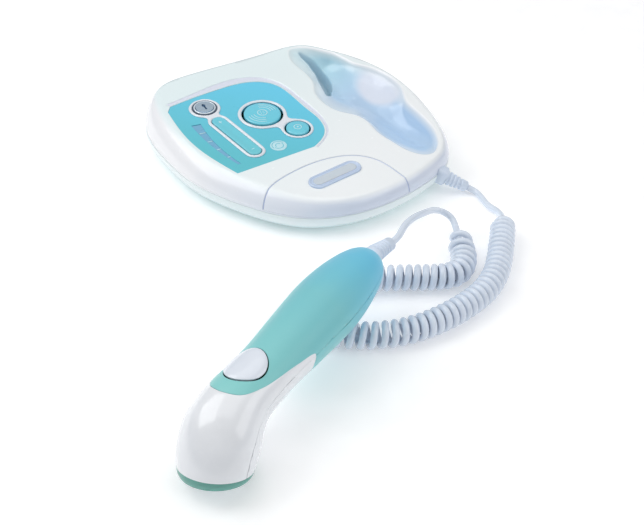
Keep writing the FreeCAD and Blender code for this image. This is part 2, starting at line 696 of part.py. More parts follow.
def make_level_bar():
    gap = size("segment_gap") / 54
    low = -size("panel_depth")
    for number in range(1, LEVEL_COUNT + 1):
        start = (number - 1) / LEVEL_COUNT + gap / 2
        end = number / LEVEL_COUNT - gap / 2
        piece = segment_prism(start, end, low, bezel_low() - 0.3)
        finish(solid(f"segment_{number}", piece, PANEL_FRAME), f"level_segment_{number}")


def make_emblem():
    finish(cylinder("emblem", "sizes.emblem_radius", "sizes.emblem_height", on_panel(*EMBLEM_PLACE, bezel_low())),
           "panel_emblem")


def make_panel_board():
    """Board under the panel with one switch for each button."""
    low = -size("panel_board_depth")
    corners = [("-66", "-18"), ("12", "-18"), ("12", "50"), ("-30", "50"), ("-30", "40"), ("-66", "40")]
    board = plate_body("panel_board", corners, "sizes.board_thickness", on_panel(0, 0, low))
    finish(board, "panel_board")
    top = low + size("board_thickness")
    side = size("switch_side")
    spots = {
        "scan_switch": (on_panel(*SCAN_PLACE, top), -size("cap_depth") - size("flange_height")),
        "single_switch": (on_panel(*SINGLE_PLACE, top), -size("cap_depth") - size("flange_height")),
        "plus_switch": (rocker_place(-17, 0, top), -size("rocker_depth")),
        "minus_switch": (rocker_place(17, 0, top), -size("rocker_depth")),
    }
    for label, (place, target) in spots.items():
        tip = target - 1.2
        case = box(label + "_case", "sizes.switch_side", "sizes.switch_side", f"{tip - 0.6 - top}",
                   place * at(-side / 2, -side / 2, 0))
        stem = cylinder(label + "_stem", "sizes.stem_radius", f"{tip - top}", place)
        finish(fuse(label + "_whole", [case, stem]), label)


# ---- electronics in the base -----------------------------------------------------------

def make_base_electronics():
    floor = size("main_board_height")
    corners = [("-58", "-24"), ("26", "-24"), ("26", "44"), ("-58", "44")]
    finish(plate_body("main_board_body", corners, "sizes.board_thickness", at(0, 0, floor)), "main_board")
    finish(box("power_block", "sizes.power_length", "sizes.power_width", "sizes.power_height",
               at(*POWER_PLACE, floor - 1)), "power_module")
    finish(cylinder("capacitor_can", "sizes.capacitor_radius", "sizes.capacitor_length",
                    at(*CAPACITOR_PLACE, floor + 7.6, (1, 0, 0), -90)), "capacitor")
    finish(cylinder("buzzer_can", "sizes.buzzer_radius", "sizes.buzzer_height",
                    at(*BUZZER_PLACE, floor + size("board_thickness"))), "buzzer")
    place = at(*INLET_PLACE, size("inlet_height"), (1, 0, 0), -90)
    case = cylinder("inlet_case", "sizes.inlet_radius", "sizes.inlet_length", place)
    bore = cylinder("inlet_bore", "sizes.inlet_bore_radius", "sizes.inlet_length", place * at(0, 0, 3))
    finish(cut("inlet", case, [bore]), "power_inlet")


# ---- cord ------------------------------------------------------------------------------

def gland_profile():
    """Half section of a ribbed sleeve that tapers from its root to its tip."""
    count = int(size("gland_ribs"))
    profile = [("0", "0")]
    for rib in range(2 * count):
        inset = "" if rib % 2 == 0 else " - sizes.gland_groove"
        for end in (rib, rib + 1):
            part = end / (2 * count)
            radius = f"sizes.gland_root_radius + {part} * (sizes.gland_tip_radius - sizes.gland_root_radius)"
            profile.append((radius + inset, f"{part} * sizes.gland_length"))
    profile.append(("0", "sizes.gland_length"))
    return profile


def make_glands():
    """Ribbed sleeves at the two ends of the cord; returns the middle of each tip."""
    base_place = aimed(BASE_GLAND_PLACE, BASE_GLAND_AIM)
    block_height = size("gland_block_height")
    block_width = size("gland_block_width")
    block = box("base_gland_block", "sizes.gland_block_height", "sizes.gland_block_width",
                "sizes.gland_block_length", base_place * at(-block_height / 2, -block_width / 2, 0))
    sleeve = turned_body("base_gland_sleeve", gland_profile(), base_place * at(0, 0, size("gland_block_length")))
    finish(fuse("base_gland", [block, sleeve]), "base_cord_gland")
    back = HANDSET_FRAME.Rotation.multVec(Vector(-1, 0, 0))
    collar_place = aimed(HANDSET_FRAME.multVec(Vector(2, 0, 0)), back)
    collar = cylinder("handset_gland_collar", "sizes.gland_root_radius + 0.4", "sizes.gland_collar + 2", collar_place)
    handset_place = aimed(HANDSET_FRAME.multVec(Vector(1 - size("gland_collar"), 0, 0)), HANDSET_GLAND_AIM)
    handset_sleeve = turned_body("handset_gland_sleeve", gland_profile(), handset_place)
    finish(fuse("handset_gland", [collar, handset_sleeve]), "handset_cord_gland")
    base_tip = base_place.multVec(Vector(0, 0, size("gland_block_length") + size("gland_length")))
    handset_tip = handset_place.multVec(Vector(0, 0, size("gland_length")))
    return base_tip, handset_tip


def tube(name, route, diameter):
    """Round tube along straight runs joined by tangent arcs."""
    edges = []
    radii = []
    start = route[0]
    for before, corner, after in zip(route, route[1:], route[2:]):
        back = before - corner
        ahead = after - corner
        half = (math.pi - back.getAngle(ahead)) / 2
        reach = 0.45 * min(back.Length, ahead.Length)
        radii.append(reach / math.tan(half))
        arc_start = corner + back.normalize() * reach
        arc_end = corner + ahead.normalize() * reach
        middle = corner + (back + ahead).normalize() * radii[-1] * (1 / math.cos(half) - 1)
        edges.append(Part.LineSegment(start, arc_start).toShape())
        edges.append(Part.Arc(arc_start, middle, arc_end).toShape())
        start = arc_end
    edges.append(Part.LineSegment(start, route[-1]).toShape())
    path = Part.Wire(edges)
    circle = Part.Wire(Part.makeCircle(diameter / 2, route[0], route[1] - route[0]))
    body = path.makePipeShell([circle], True, False)
    expected = math.pi * (diameter / 2) ** 2 * path.Length
    print(name, "length", round(path.Length), "least radius", round(min(radii), 1),
          "volume over section times length", round(body.Volume / expected, 4))
    return body


def make_cord(base_tip, handset_tip):
    diameter = size("cord_diameter")
    level = size("coil_centre_height")
    coil = [Vector(x, y, level) for x, y in COIL_ROUTE]
    lead_drop = Vector(0, 0, 2.5)
    first_face = (coil[0] - coil[1]).normalize()
    last_face = (coil[-1] - coil[-2]).normalize()
    base_aim = Vector(*BASE_GLAND_AIM).normalize()
    handset_aim = Vector(*HANDSET_GLAND_AIM).normalize()
    base_lead = [base_tip, base_tip + base_aim * 7] + [Vector(*point) for point in BASE_LEAD]
    base_lead += [coil[0] + first_face * 8 - lead_drop, coil[0] - lead_drop]
    handset_lead = [handset_tip, handset_tip + handset_aim * 8] + [Vector(*point) for point in HANDSET_LEAD]
    handset_lead += [coil[-1] + last_face * 8, coil[-1]]
    finish(solid("base_lead", tube("base lead", base_lead, diameter)), "cord_base_lead")
    finish(solid("coil", tube("coil", coil, size("coil_diameter"))), "cord_coil")
    finish(solid("handset_lead", tube("handset lead", handset_lead, diameter)), "cord_handset_lead")


# ---- handset ---------------------------------------------------------------------------

def handset_point(along, across=0.0, above=0.0):
    """Point of the handset's bent frame: along its middle line, to the side and above it."""
    straight = size("handset_straight")
    bend = math.radians(size("handset_bend"))
    radius = (size("handset_length") - straight) / bend
    turn = max(0.0, (along - straight) / radius)
    x = min(along, straight) + radius * math.sin(turn) + above * math.sin(turn)
    z = radius * (math.cos(turn) - 1) + above * math.cos(turn)
    return Vector(x, across, z)


def handset_section(along, half):
    """Oval section across the middle line."""
    centre = handset_point(along)
    side = handset_point(along, half)
    top = handset_point(along, 0, half * size("handset_roundness"))
    if half * size("handset_roundness") >= half:
        side, top = top, side
    return Part.Wire(Part.Ellipse(side, top, centre).toShape())


def half_width(along):
    """Half width of the handset between its stated sections."""
    for (low, low_half), (high, high_half) in zip(HANDSET_SECTIONS, HANDSET_SECTIONS[1:]):
        if low <= along <= high:
            return low_half + (high_half - low_half) * (along - low) / (high - low)
    return HANDSET_SECTIONS[-1][1]


def handset_solid(grow, start=0.0, end=None):
    """Solid inside the handset's surface moved outwards by grow."""
    end = end or HANDSET_SECTIONS[-1][0]
    stations = [start]
    stations += [along for along, _ in HANDSET_SECTIONS if start + 0.5 < along < end - 0.5]
    stations.append(end)
    return Part.makeLoft([handset_section(along, half_width(along) + grow) for along in stations], True, False)


def side_block(outline, reach=40):
    """Solid from a closed outline in the handset's XZ plane, as deep as the reach each way."""
    points = [Vector(x, -reach, z) for x, z in outline]
    face = Part.Face(Part.makePolygon(points + points[:1]))
    return face.extrude(Vector(0, 2 * reach, 0))


def middle_line(start=-20):
    """The parting line in the XZ plane, from the tail to beyond the nose."""
    straight = size("handset_straight")
    length = size("handset_length")
    bent = [handset_point(straight + (length - straight) * step / 6) for step in range(7)]
    beyond = handset_point(length) + (bent[-1] - bent[-2]) * 3
    return [(start, 0)] + [(point.x, point.z) for point in bent] + [(beyond.x, beyond.z)]


def make_handset_shells():
    outer = handset_solid(0)
    inner = handset_solid(-size("handset_wall"), 2.2, HANDSET_SECTIONS[-1][0] + 0.8)
    wall = solid("handset_wall_all", outer.cut(inner), HANDSET_FRAME)
    parting = middle_line()
    upper = solid("upper_half", side_block(parting + [(220, 60), (-20, 60)]), HANDSET_FRAME)
    lower = solid("lower_half", side_block(parting + [(-20, -90)]), HANDSET_FRAME)
    grip_line = [(-20, -5), (GRIP_EDGE[0][0], -5)] + GRIP_EDGE + [(-20, 24)]
    upper_grip_space = solid("upper_grip_space", side_block(grip_line), HANDSET_FRAME)
    edge = GRIP_EDGE[0][0]
    lower_grip_space = solid("lower_grip_space", side_block([(-20, 5), (edge, 5), (edge + 2, -30), (-20, -30)]),
                             HANDSET_FRAME)
    tail_hole = cylinder("tail_hole", "sizes.gland_root_radius + 0.5", "6", in_handset(-3, 0, 0, (0, 1, 0), 90))
    trigger_space = solid("trigger_space", trigger_prism(size("trigger_gap"), 0, 40), HANDSET_FRAME)
    upper_wall = common("upper_wall", [wall, upper])
    lower_wall = common("lower_wall", [wall, lower])
    finish(cut("upper_grip", common("upper_grip_wall", [upper_wall, upper_grip_space]), [tail_hole, trigger_space]),
           "handset_upper_grip")
    finish(cut("upper_shell_front", upper_wall, [upper_grip_space]), "handset_upper_shell")
    posts = []
    holes = [tail_hole]
    for number, x in enumerate(HANDSET_SCREWS, start=1):
        depth = half_width(x) * size("handset_roundness")
        post = cylinder(f"handset_post_{number}", "3.4", f"{depth} - 1", in_handset(x, 0, 1 - depth))
        posts.append(post)
        holes.append(cylinder(f"handset_shank_{number}", "1.1", f"{depth} + 2", in_handset(x, 0, -depth - 1)))
        holes.append(cylinder(f"handset_head_{number}", "2.3", "4", in_handset(x, 0, -depth - 1)))
        profile = [("0", "0"), ("2", "0"), ("2", "1.6"), ("1", "1.6"), ("1", "11"), ("0", "11")]
        finish(turned_body(f"handset_screw_body_{number}", profile, in_handset(x, 0, 1.2 - depth)),
               f"handset_screw_{number}")
    grip_wall = common("lower_grip_wall", [lower_wall, lower_grip_space])
    finish(cut("lower_grip", fuse("lower_grip_blank", [grip_wall] + posts), holes), "handset_lower_grip")
    finish(cut("lower_shell_front", lower_wall, [lower_grip_space]), "handset_lower_shell")


def trigger_prism(margin, low, high):
    """Upright oval solid, grown by the margin, in the handset's frame."""
    middle = Vector(size("trigger_place"), 0, low)
    long_half = size("trigger_half_length") + margin
    wide_half = size("trigger_half_width") + margin
    oval = Part.Ellipse(middle + Vector(long_half, 0, 0), middle + Vector(0, wide_half, 0), middle)
    return Part.Face(Part.Wire(oval.toShape())).extrude(Vector(0, 0, high - low))


def make_trigger():
    raised = solid("trigger_skin", handset_solid(size("trigger_rise")), HANDSET_FRAME)
    block = solid("trigger_block", trigger_prism(0, size("trigger_bottom"), 40), HANDSET_FRAME)
    finish(common("trigger", [raised, block]), "trigger_button")


def make_window():
    """Rim and glass at the open end of the head."""
    start = HANDSET_SECTIONS[-1][0]
    end = size("handset_length")
    half = half_width(start)
    rim = Part.makeLoft([handset_section(start, half), handset_section((start + end) / 2, half - 0.2),
                         handset_section(end, half - 1)], True, False)
    inset = size("frame_rim")
    space = Part.makeLoft([handset_section(along, half - inset) for along in (start - 2, start + 1, end + 1)],
                          True, False)
    finish(solid("window_rim", rim.cut(space), HANDSET_FRAME), "window_frame")
    back = end - size("glass_sink") - size("glass_thickness")
    glass = Part.makeLoft([handset_section(back, half - inset), handset_section(end - size("glass_sink"), half - inset)],
                          True, False)
    finish(solid("glass", glass, HANDSET_FRAME), "window_glass")


def make_handset_internals():
    top = size("handset_board_top")
    start = size("trigger_place") + 12 - size("handset_board_length")
    half = size("handset_board_width") / 2
    corners = [("0", f"-{half}"), ("sizes.handset_board_length", f"-{half}"),
               ("sizes.handset_board_length", f"{half}"), ("0", f"{half}")]
    board_low = top - size("board_thickness")
    finish(plate_body("handset_board_body", corners, "sizes.board_thickness", in_handset(start, 0, board_low)),
           "handset_board")
    place = in_handset(size("trigger_place"), 0, top)
    case = box("trigger_case", "sizes.switch_side", "sizes.switch_side", "sizes.trigger_switch_height",
               place * at(-4, -4, 0))
    stem = cylinder("trigger_stem", "sizes.stem_radius", f"{size('trigger_bottom') - 1.4 - top}", place)
    finish(fuse("trigger_switch_whole", [case, stem]), "trigger_switch")
    drop = -size("light_drop")
    light_start = 84
    body = cylinder("light_can", "sizes.light_radius", "sizes.light_length",
                    in_handset(light_start, 0, drop, (0, 1, 0), 90))
    finish(body, "light_module")
    lens_place = in_handset(light_start + size("light_length"), 0, drop, (0, 1, 0), 90)
    lens = cylinder("lens_disc", "sizes.light_radius - 0.5", "3", lens_place)
    finish(lens, "focus_lens")
    hub = handset_point(137, 0, 0)
    turn = Rotation(Vector(1, 0, 0), 90)
    shaft_place = in_handset(hub.x, 8.6, hub.z) * Placement(Vector(0, 0, 0), turn)
    shaft = cylinder("mirror_shaft", "sizes.shaft_radius", "sizes.mirror_width + 4", shaft_place)
    plate = box("mirror_plate", "sizes.mirror_length", "sizes.mirror_width", "sizes.mirror_thickness",
                in_handset(hub.x, 0, hub.z, (0, 1, 0), 40)
                * at(-size("mirror_length") / 2, -size("mirror_width") / 2, 0))
    finish(fuse("mirror", [shaft, plate]), "scan_mirror")
    motor_place = in_handset(hub.x, 8.6 + size("motor_length") - 2.6, hub.z) * Placement(Vector(0, 0, 0), turn)
    motor = cylinder("motor_can", "sizes.motor_radius", "sizes.motor_length", motor_place)
    motor_bore = cylinder("motor_bore", "sizes.shaft_radius + 0.05", "5", motor_place * at(0, 0, 4))
    finish(cut("motor", motor, [motor_bore]), "mirror_motor")
    sink_start = 54
    block = box("sink_block", "sizes.sink_length", "sizes.sink_width", "sizes.sink_height",
                in_handset(sink_start, -size("sink_width") / 2, -11))
    gaps = [
        box(f"sink_gap_{number}", "2", "sizes.sink_width", "sizes.sink_height",
            in_handset(sink_start + 4 * number - 1.6, -size("sink_width") / 2, -8.5))
        for number in range(1, int(size("fin_count")) + 1)
    ]
    finish(cut("sink", block, gaps), "heat_sink")


upper_outer, upper_inner = make_upper_shell()
make_lower_shell()
make_foot_ring()
make_screws()
make_lid(upper_outer, upper_inner)
make_tray()
make_panel()
make_bezels()
make_button("scan_button", SCAN_PLACE, "sizes.scan_cap_radius", 90)
make_button("single_button", SINGLE_PLACE, "sizes.single_cap_radius", 45)
make_lock()
make_rocker()
make_level_bar()
make_emblem()
make_panel_board()
make_base_electronics()
base_tip, handset_tip = make_glands()
make_cord(base_tip, handset_tip)
make_handset_shells()
make_trigger()
make_window()
make_handset_internals()

doc.recompute()
faults = [item.Name for item in doc.Objects if "Invalid" in item.State or "Error" in item.State]
for part in sub_parts:
    if part.Shape.isNull() or not part.Shape.isValid() or not part.Shape.Solids:
        faults.append(part.Label)
if faults:
    raise RuntimeError("objects that did not build: " + ", ".join(faults))

os.makedirs("parts", exist_ok=True)
for part in sub_parts:
    part.Shape.exportStep(f"parts/{part.Label}.step")
    box_size = part.Shape.BoundBox
    print(part.Label, len(part.Shape.Solids), "solids", round(part.Shape.Volume), "mm3",
          [round(n, 1) for n in (box_size.XMin, box_size.YMin, box_size.ZMin,
                                 box_size.XMax, box_size.YMax, box_size.ZMax)])
print(len(sub_parts), "sub-parts")
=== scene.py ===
import contextlib
import json
import math
import bmesh
import bpy
import numpy as np
from mathutils import Matrix, Vector
from mathutils.geometry import delaunay_2d_cdt

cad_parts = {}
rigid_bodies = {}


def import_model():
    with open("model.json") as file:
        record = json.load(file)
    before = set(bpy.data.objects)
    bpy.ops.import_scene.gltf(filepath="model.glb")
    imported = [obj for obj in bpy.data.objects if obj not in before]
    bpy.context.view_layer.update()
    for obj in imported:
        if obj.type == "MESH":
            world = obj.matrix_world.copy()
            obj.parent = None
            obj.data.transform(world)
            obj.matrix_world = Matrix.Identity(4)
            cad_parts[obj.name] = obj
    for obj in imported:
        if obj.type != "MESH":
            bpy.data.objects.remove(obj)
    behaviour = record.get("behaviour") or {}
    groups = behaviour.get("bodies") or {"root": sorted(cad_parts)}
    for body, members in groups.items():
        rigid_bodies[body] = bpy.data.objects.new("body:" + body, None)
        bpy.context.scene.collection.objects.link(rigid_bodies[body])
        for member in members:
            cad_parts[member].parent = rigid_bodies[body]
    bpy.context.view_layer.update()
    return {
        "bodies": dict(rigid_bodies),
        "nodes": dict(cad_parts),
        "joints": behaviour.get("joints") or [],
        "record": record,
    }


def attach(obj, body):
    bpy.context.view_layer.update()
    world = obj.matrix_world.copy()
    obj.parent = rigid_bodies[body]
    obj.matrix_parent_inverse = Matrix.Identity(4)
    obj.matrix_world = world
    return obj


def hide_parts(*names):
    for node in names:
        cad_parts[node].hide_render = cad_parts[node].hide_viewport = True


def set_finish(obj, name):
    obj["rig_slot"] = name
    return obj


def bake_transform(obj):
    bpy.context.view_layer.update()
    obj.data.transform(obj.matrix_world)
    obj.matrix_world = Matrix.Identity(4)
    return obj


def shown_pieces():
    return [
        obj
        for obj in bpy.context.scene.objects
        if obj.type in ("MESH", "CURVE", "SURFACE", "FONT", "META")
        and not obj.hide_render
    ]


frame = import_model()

# Looks of a hair remover: a table base with a control panel and a hand rest, a curly cord
# and a bent handset. Shapes are worked out in millimetres and written in metres.
MM = 0.001

# ---- camera, light and floor ----

def aim_light(name, place, target, width, power, colour=(1, 1, 1)):
    """Soft rectangular light at a place, facing a target."""
    data = bpy.data.lights.new(name, "AREA")
    data.shape = "RECTANGLE"
    data.size = width[0]
    data.size_y = width[1]
    data.energy = power
    data.color = colour
    light = bpy.data.objects.new(name, data)
    light.location = place
    light.rotation_euler = (Vector(target) - Vector(place)).to_track_quat("-Z", "Y").to_euler()
    bpy.context.scene.collection.objects.link(light)


camera_data = bpy.data.cameras.new("camera")
camera_data.lens = 55.9
camera_data.sensor_width = 36
camera_data.clip_start = 0.01
camera = bpy.data.objects.new("camera", camera_data)
camera.location = (-0.295, -0.513, 0.409)
camera.rotation_euler = (math.radians(50), 0, math.radians(-31.4))
bpy.context.scene.collection.objects.link(camera)
bpy.context.scene.camera = camera

# ---- curly cord ----

CORD_DIAMETER = 0.0043
COIL_DIAMETER = 0.0168
COIL_LEVEL = 0.0085
BASE_LEAD = [
    (0.0837, -0.0839, 0.005), (0.0886, -0.088, 0.0021), (0.0875, -0.096, 0.0024),
    (0.085, -0.106, 0.0023), (0.086, -0.116, 0.0034), (0.0821, -0.1249, 0.006),
]
COIL_ROUTE = [
    (0.077, -0.131), (0.067, -0.143), (0.0575, -0.153), (0.0485, -0.1625), (0.038, -0.1715),
    (0.0265, -0.178), (0.014, -0.182), (0, -0.1845), (-0.017, -0.1855), (-0.034, -0.184),
    (-0.05, -0.179), (-0.063, -0.1715), (-0.0745, -0.162), (-0.081, -0.15), (-0.08, -0.137),
    (-0.0705, -0.128), (-0.0575, -0.125), (-0.043, -0.1275), (-0.028, -0.134), (-0.012, -0.143),
    (0, -0.15), (0.011, -0.156), (0.02, -0.1575), (0.0285, -0.1525), (0.0345, -0.1445),
    (0.0385, -0.136), (0.043, -0.1275),
]
HANDSET_LEAD = [
    (0.0467, -0.1204, 0.0085), (0.0495, -0.1125, 0.0105), (0.0435, -0.108, 0.0155),
    (0.033, -0.1115, 0.0225), (0.022, -0.1175, 0.0285), (0.01, -0.123, 0.0335),
    (-0.002, -0.129, 0.036), (-0.0125, -0.1375, 0.0356), (-0.02, -0.1401, 0.0368),
]
COIL_PITCH = [
    (0, 0.0046), (0.09, 0.0047), (0.16, 0.0062), (0.2, 0.0066), (0.27, 0.0058), (0.305, 0.0048),
    (0.33, 0.0048), (0.337, 0.0075), (0.36, 0.009),
]
COIL_TAPER = 0.006
TUBE_SIDES = 12
ROUTE_STEP = 0.00025
TUBE_STEP = 0.0022


def nurbs_points(points):
    """Points along the smooth NURBS line that has the given control points."""
    data = bpy.data.curves.new("cord_route", "CURVE")
    data.dimensions = "3D"
    data.resolution_u = 10
    line = data.splines.new("NURBS")
    line.points.add(len(points) - 1)
    for control, point in zip(line.points, points):
        control.co = (*point, 1)
    line.order_u = 3
    line.use_endpoint_u = True
    route = bpy.data.objects.new("cord_route", data)
    mesh = bpy.data.meshes.new_from_object(route)
    found = np.array([tuple(corner.co) for corner in mesh.vertices])
    bpy.data.meshes.remove(mesh)
    bpy.data.objects.remove(route)
    bpy.data.curves.remove(data)
    return found


def evenly(points, step):
    """Points a step apart along a line."""
    along = np.concatenate([[0], np.cumsum(np.linalg.norm(np.diff(points, axis=0), axis=1))])
    wanted = np.linspace(0, along[-1], int(along[-1] / step) + 1)
    return np.stack([np.interp(wanted, along, points[:, axis]) for axis in range(3)], axis=1)


def frames_along(points):
    """Direction, side and top at each point of a line, without twist."""
    ahead = np.gradient(points, axis=0)
    ahead /= np.linalg.norm(ahead, axis=1)[:, None]
    top = np.zeros_like(points)
    last = np.array([0.0, 0.0, 1.0])
    for i, direction in enumerate(ahead):
        last = last - direction * (last @ direction)
        last /= np.linalg.norm(last)
        top[i] = last
    return ahead, np.cross(ahead, top), top


def curly_line(points, start, end, step):
    """The line with a helix round it from the start to the end distance."""
    _, side, top = frames_along(points)
    radius = (COIL_DIAMETER - CORD_DIAMETER) / 2
    distance = np.arange(len(points)) * step
    pitch = np.interp(distance - start, *np.array(COIL_PITCH).T)
    coiled = np.clip((distance - start) / COIL_TAPER, 0, 1) * np.clip((end - distance) / COIL_TAPER, 0, 1)
    coiled = coiled * coiled * (3 - 2 * coiled)
    angle = np.cumsum(np.where((distance > start) & (distance < end), 2 * math.pi * step / pitch, 0))
    out = radius * coiled[:, None]
    return points + out * (np.cos(angle)[:, None] * top - np.sin(angle)[:, None] * side)


def band_faces(rows, sides):
    """Four-cornered faces between neighbouring closed rows of corners."""
    faces = []
    for row in range(rows - 1):
        for i in range(sides):
            here, there = row * sides + i, row * sides + (i + 1) % sides
            faces.append((here, there, there + sides, here + sides))
    return faces


def tube_mesh(name, points, radius, sides):
    """Round closed tube along a line, in metres."""
    _, side, top = frames_along(points)
    corners = []
    for i, point in enumerate(points):
        for step in range(sides):
            turn = 2 * math.pi * step / sides
            corners.append(point + radius * (math.cos(turn) * side[i] + math.sin(turn) * top[i]))
    faces = band_faces(len(points), sides)
    faces.append(tuple(range(sides))[::-1])
    faces.append(tuple(range(len(corners) - sides, len(corners))))
    mesh = bpy.data.meshes.new(name)
    mesh.from_pydata([tuple(c) for c in corners], [], faces)
    mesh.shade_smooth()
    piece = bpy.data.objects.new(name, mesh)
    bpy.context.scene.collection.objects.link(piece)
    return piece


def nearest_distance(points, place, step):
    """Distance along a line of evenly spaced points to the one nearest to a place."""
    return step * int(np.argmin(np.linalg.norm(points - np.array(place), axis=1)))


def build_cord():
    coil = [(x, y, COIL_LEVEL) for x, y in COIL_ROUTE]
    line = evenly(nurbs_points(BASE_LEAD + coil + HANDSET_LEAD), ROUTE_STEP)
    start = nearest_distance(line, coil[0], ROUTE_STEP)
    end = nearest_distance(line, coil[-1], ROUTE_STEP)
    path = evenly(curly_line(line, start, end, ROUTE_STEP), TUBE_STEP)
    piece = tube_mesh("curly_cord", path, CORD_DIAMETER / 2, TUBE_SIDES)
    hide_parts("cord_base_lead", "cord_coil", "cord_handset_lead")
    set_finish(piece, "cord_white")
    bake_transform(piece)


build_cord()

# ---- curves and tables ----

def slopes(places, points, closed):
    """Slopes of the cubic curve that passes through the points."""
    gaps = np.diff(places)
    rises = np.diff(points, axis=0) / gaps[:, None]
    count = len(points) - 1 if closed else len(points)
    matrix = np.zeros((count, count))
    right = np.zeros((count, points.shape[1]))
    for i in range(count):
        if not closed and i in (0, count - 1):
            matrix[i, i] = 2
            matrix[i, 1 if i == 0 else count - 2] = 1
            right[i] = 3 * rises[min(i, count - 2)]
            continue
        matrix[i, i] = 2 * (gaps[i - 1] + gaps[i])
        matrix[i, i - 1] += gaps[i]
        matrix[i, (i + 1) % count] += gaps[i - 1]
        right[i] = 3 * (gaps[i] * rises[i - 1] + gaps[i - 1] * rises[i])
    found = np.linalg.solve(matrix, right)
    return np.vstack([found, found[:1]]) if closed else found


def cubic_shares(t):
    """Shares of a cubic piece's start, start slope, end and end slope at a part of its way."""
    return 2 * t**3 - 3 * t**2 + 1, t**3 - 2 * t**2 + t, 3 * t**2 - 2 * t**3, t**3 - t**2


def smooth_line(points, spacing=1.5, closed=False):
    """Points about a spacing apart on the smooth curve through the given points."""
    points = np.array(points, float)
    if closed:
        points = np.vstack([points, points[:1]])
    lengths = np.linalg.norm(np.diff(points, axis=0), axis=1)
    slope = slopes(np.concatenate([[0], np.cumsum(lengths)]), points, closed)
    samples = []
    for i, length in enumerate(lengths):
        for t in np.linspace(0, 1, 24, endpoint=False):
            starts, leaves, ends, arrives = cubic_shares(t)
            samples.append(starts * points[i] + leaves * slope[i] * length
                           + ends * points[i + 1] + arrives * slope[i + 1] * length)
    samples = np.vstack(samples + [points[-1:]])
    along = np.concatenate([[0], np.cumsum(np.linalg.norm(np.diff(samples, axis=0), axis=1))])
    wanted = np.linspace(0, along[-1], max(4, int(round(along[-1] / spacing)) + 1))
    found = np.stack([np.interp(wanted, along, samples[:, axis]) for axis in range(samples.shape[1])], axis=1)
    return found[:-1] if closed else found


def normals_right(line, closed=False):
    """Unit directions to the right of a flat line, which is outwards for an anticlockwise loop."""
    if closed:
        ahead = np.roll(line, -1, axis=0) - np.roll(line, 1, axis=0)
    else:
        ahead = np.gradient(line, axis=0)
    ahead = ahead / np.linalg.norm(ahead, axis=1)[:, None]
    return np.stack([ahead[:, 1], -ahead[:, 0]], axis=1)


def table_at(rows, at):
    """Values of a table's columns between its rows, smooth and without overshoot."""
    rows = np.array(sorted(rows), float)
    x, y = rows[:, 0], rows[:, 1:]
    rise = np.diff(y, axis=0) / np.diff(x)[:, None]
    slope = np.vstack([rise[:1], (rise[1:] + rise[:-1]) / 2, rise[-1:]])
    slope[1:-1][rise[1:] * rise[:-1] <= 0] = 0
    at = np.clip(np.asarray(at, float), x[0], x[-1])
    i = np.clip(np.searchsorted(x, at, side="right") - 1, 0, len(x) - 2)
    gap = x[i + 1] - x[i]
    t = ((at - x[i]) / gap)[..., None]
    gap = gap[..., None]
    starts, leaves, ends, arrives = cubic_shares(t)
    return starts * y[i] + leaves * gap * slope[i] + ends * y[i + 1] + arrives * gap * slope[i + 1]


def step_up(value, low, high):
    """0 below low, 1 above high, and smooth in between."""
    t = np.clip((np.asarray(value, float) - low) / (high - low), 0, 1)
    return t * t * (3 - 2 * t)


def inside(points, loop):
    """Whether each flat point is inside a closed loop."""
    px, py = points[:, 0][:, None], points[:, 1][:, None]
    ax, ay = loop[:, 0], loop[:, 1]
    bx, by = np.roll(ax, -1), np.roll(ay, -1)
    crosses = (ay > py) != (by > py)
    where = ax + (py - ay) * (bx - ax) / np.where(by == ay, 1e-9, by - ay)
    return (crosses & (px < where)).sum(axis=1) % 2 == 1


def distance_to(points, line):
    """Distance of each flat point from an open line."""
    best = np.full(len(points), np.inf)
    for start, end in zip(line, line[1:]):
        run = end - start
        part = np.clip(((points - start) @ run) / max(run @ run, 1e-12), 0, 1)
        best = np.minimum(best, np.linalg.norm(points - start - part[:, None] * run, axis=1))
    return best


def ring(loop):
    """The loop with its first point repeated at the end."""
    return np.vstack([loop, loop[:1]])


def oval(place, radii, count, turn=0.0):
    """Anticlockwise points round an oval."""
    angle = np.linspace(0, 2 * math.pi, count, endpoint=False)
    x, y = radii[0] * np.cos(angle), radii[1] * np.sin(angle)
    c, s = math.cos(turn), math.sin(turn)
    return np.stack([place[0] + c * x - s * y, place[1] + s * x + c * y], axis=1)


# ---- meshes ----

def sheet_faces(outer, holes, inner_points, clear):
    """Triangles over flat points between an outer loop and holes.

    Gives the flat corners and the triangles; points nearer to a loop than clear are left out.
    """
    loops = [outer] + list(holes)
    keep = inside(inner_points, outer)
    for hole in holes:
        keep &= ~inside(inner_points, hole)
    spare = inner_points[keep]
    for loop in loops:
        spare = spare[distance_to(spare, ring(loop)) > clear]
    points = np.vstack(loops + [spare])
    edges = []
    start = 0
    for loop in loops:
        edges += [(start + i, start + (i + 1) % len(loop)) for i in range(len(loop))]
        start += len(loop)
    flat, _, faces, *_ = delaunay_2d_cdt([Vector(p) for p in points], edges, [], 0, 1e-6)
    flat = np.array([tuple(p) for p in flat])
    faces = np.array([tuple(face) for face in faces])
    middles = flat[faces].mean(axis=1)
    keep = inside(middles, outer)
    for hole in holes:
        keep &= ~inside(middles, hole)
    return flat, faces[keep]


def hex_grid(low, high, spacing):
    """Evenly staggered flat points over a rectangle."""
    rows = np.arange(low[1], high[1], spacing * 0.866)
    return np.array([
        (x + (spacing / 2 if number % 2 else 0), y)
        for number, y in enumerate(rows) for x in np.arange(low[0], high[0], spacing)
    ])


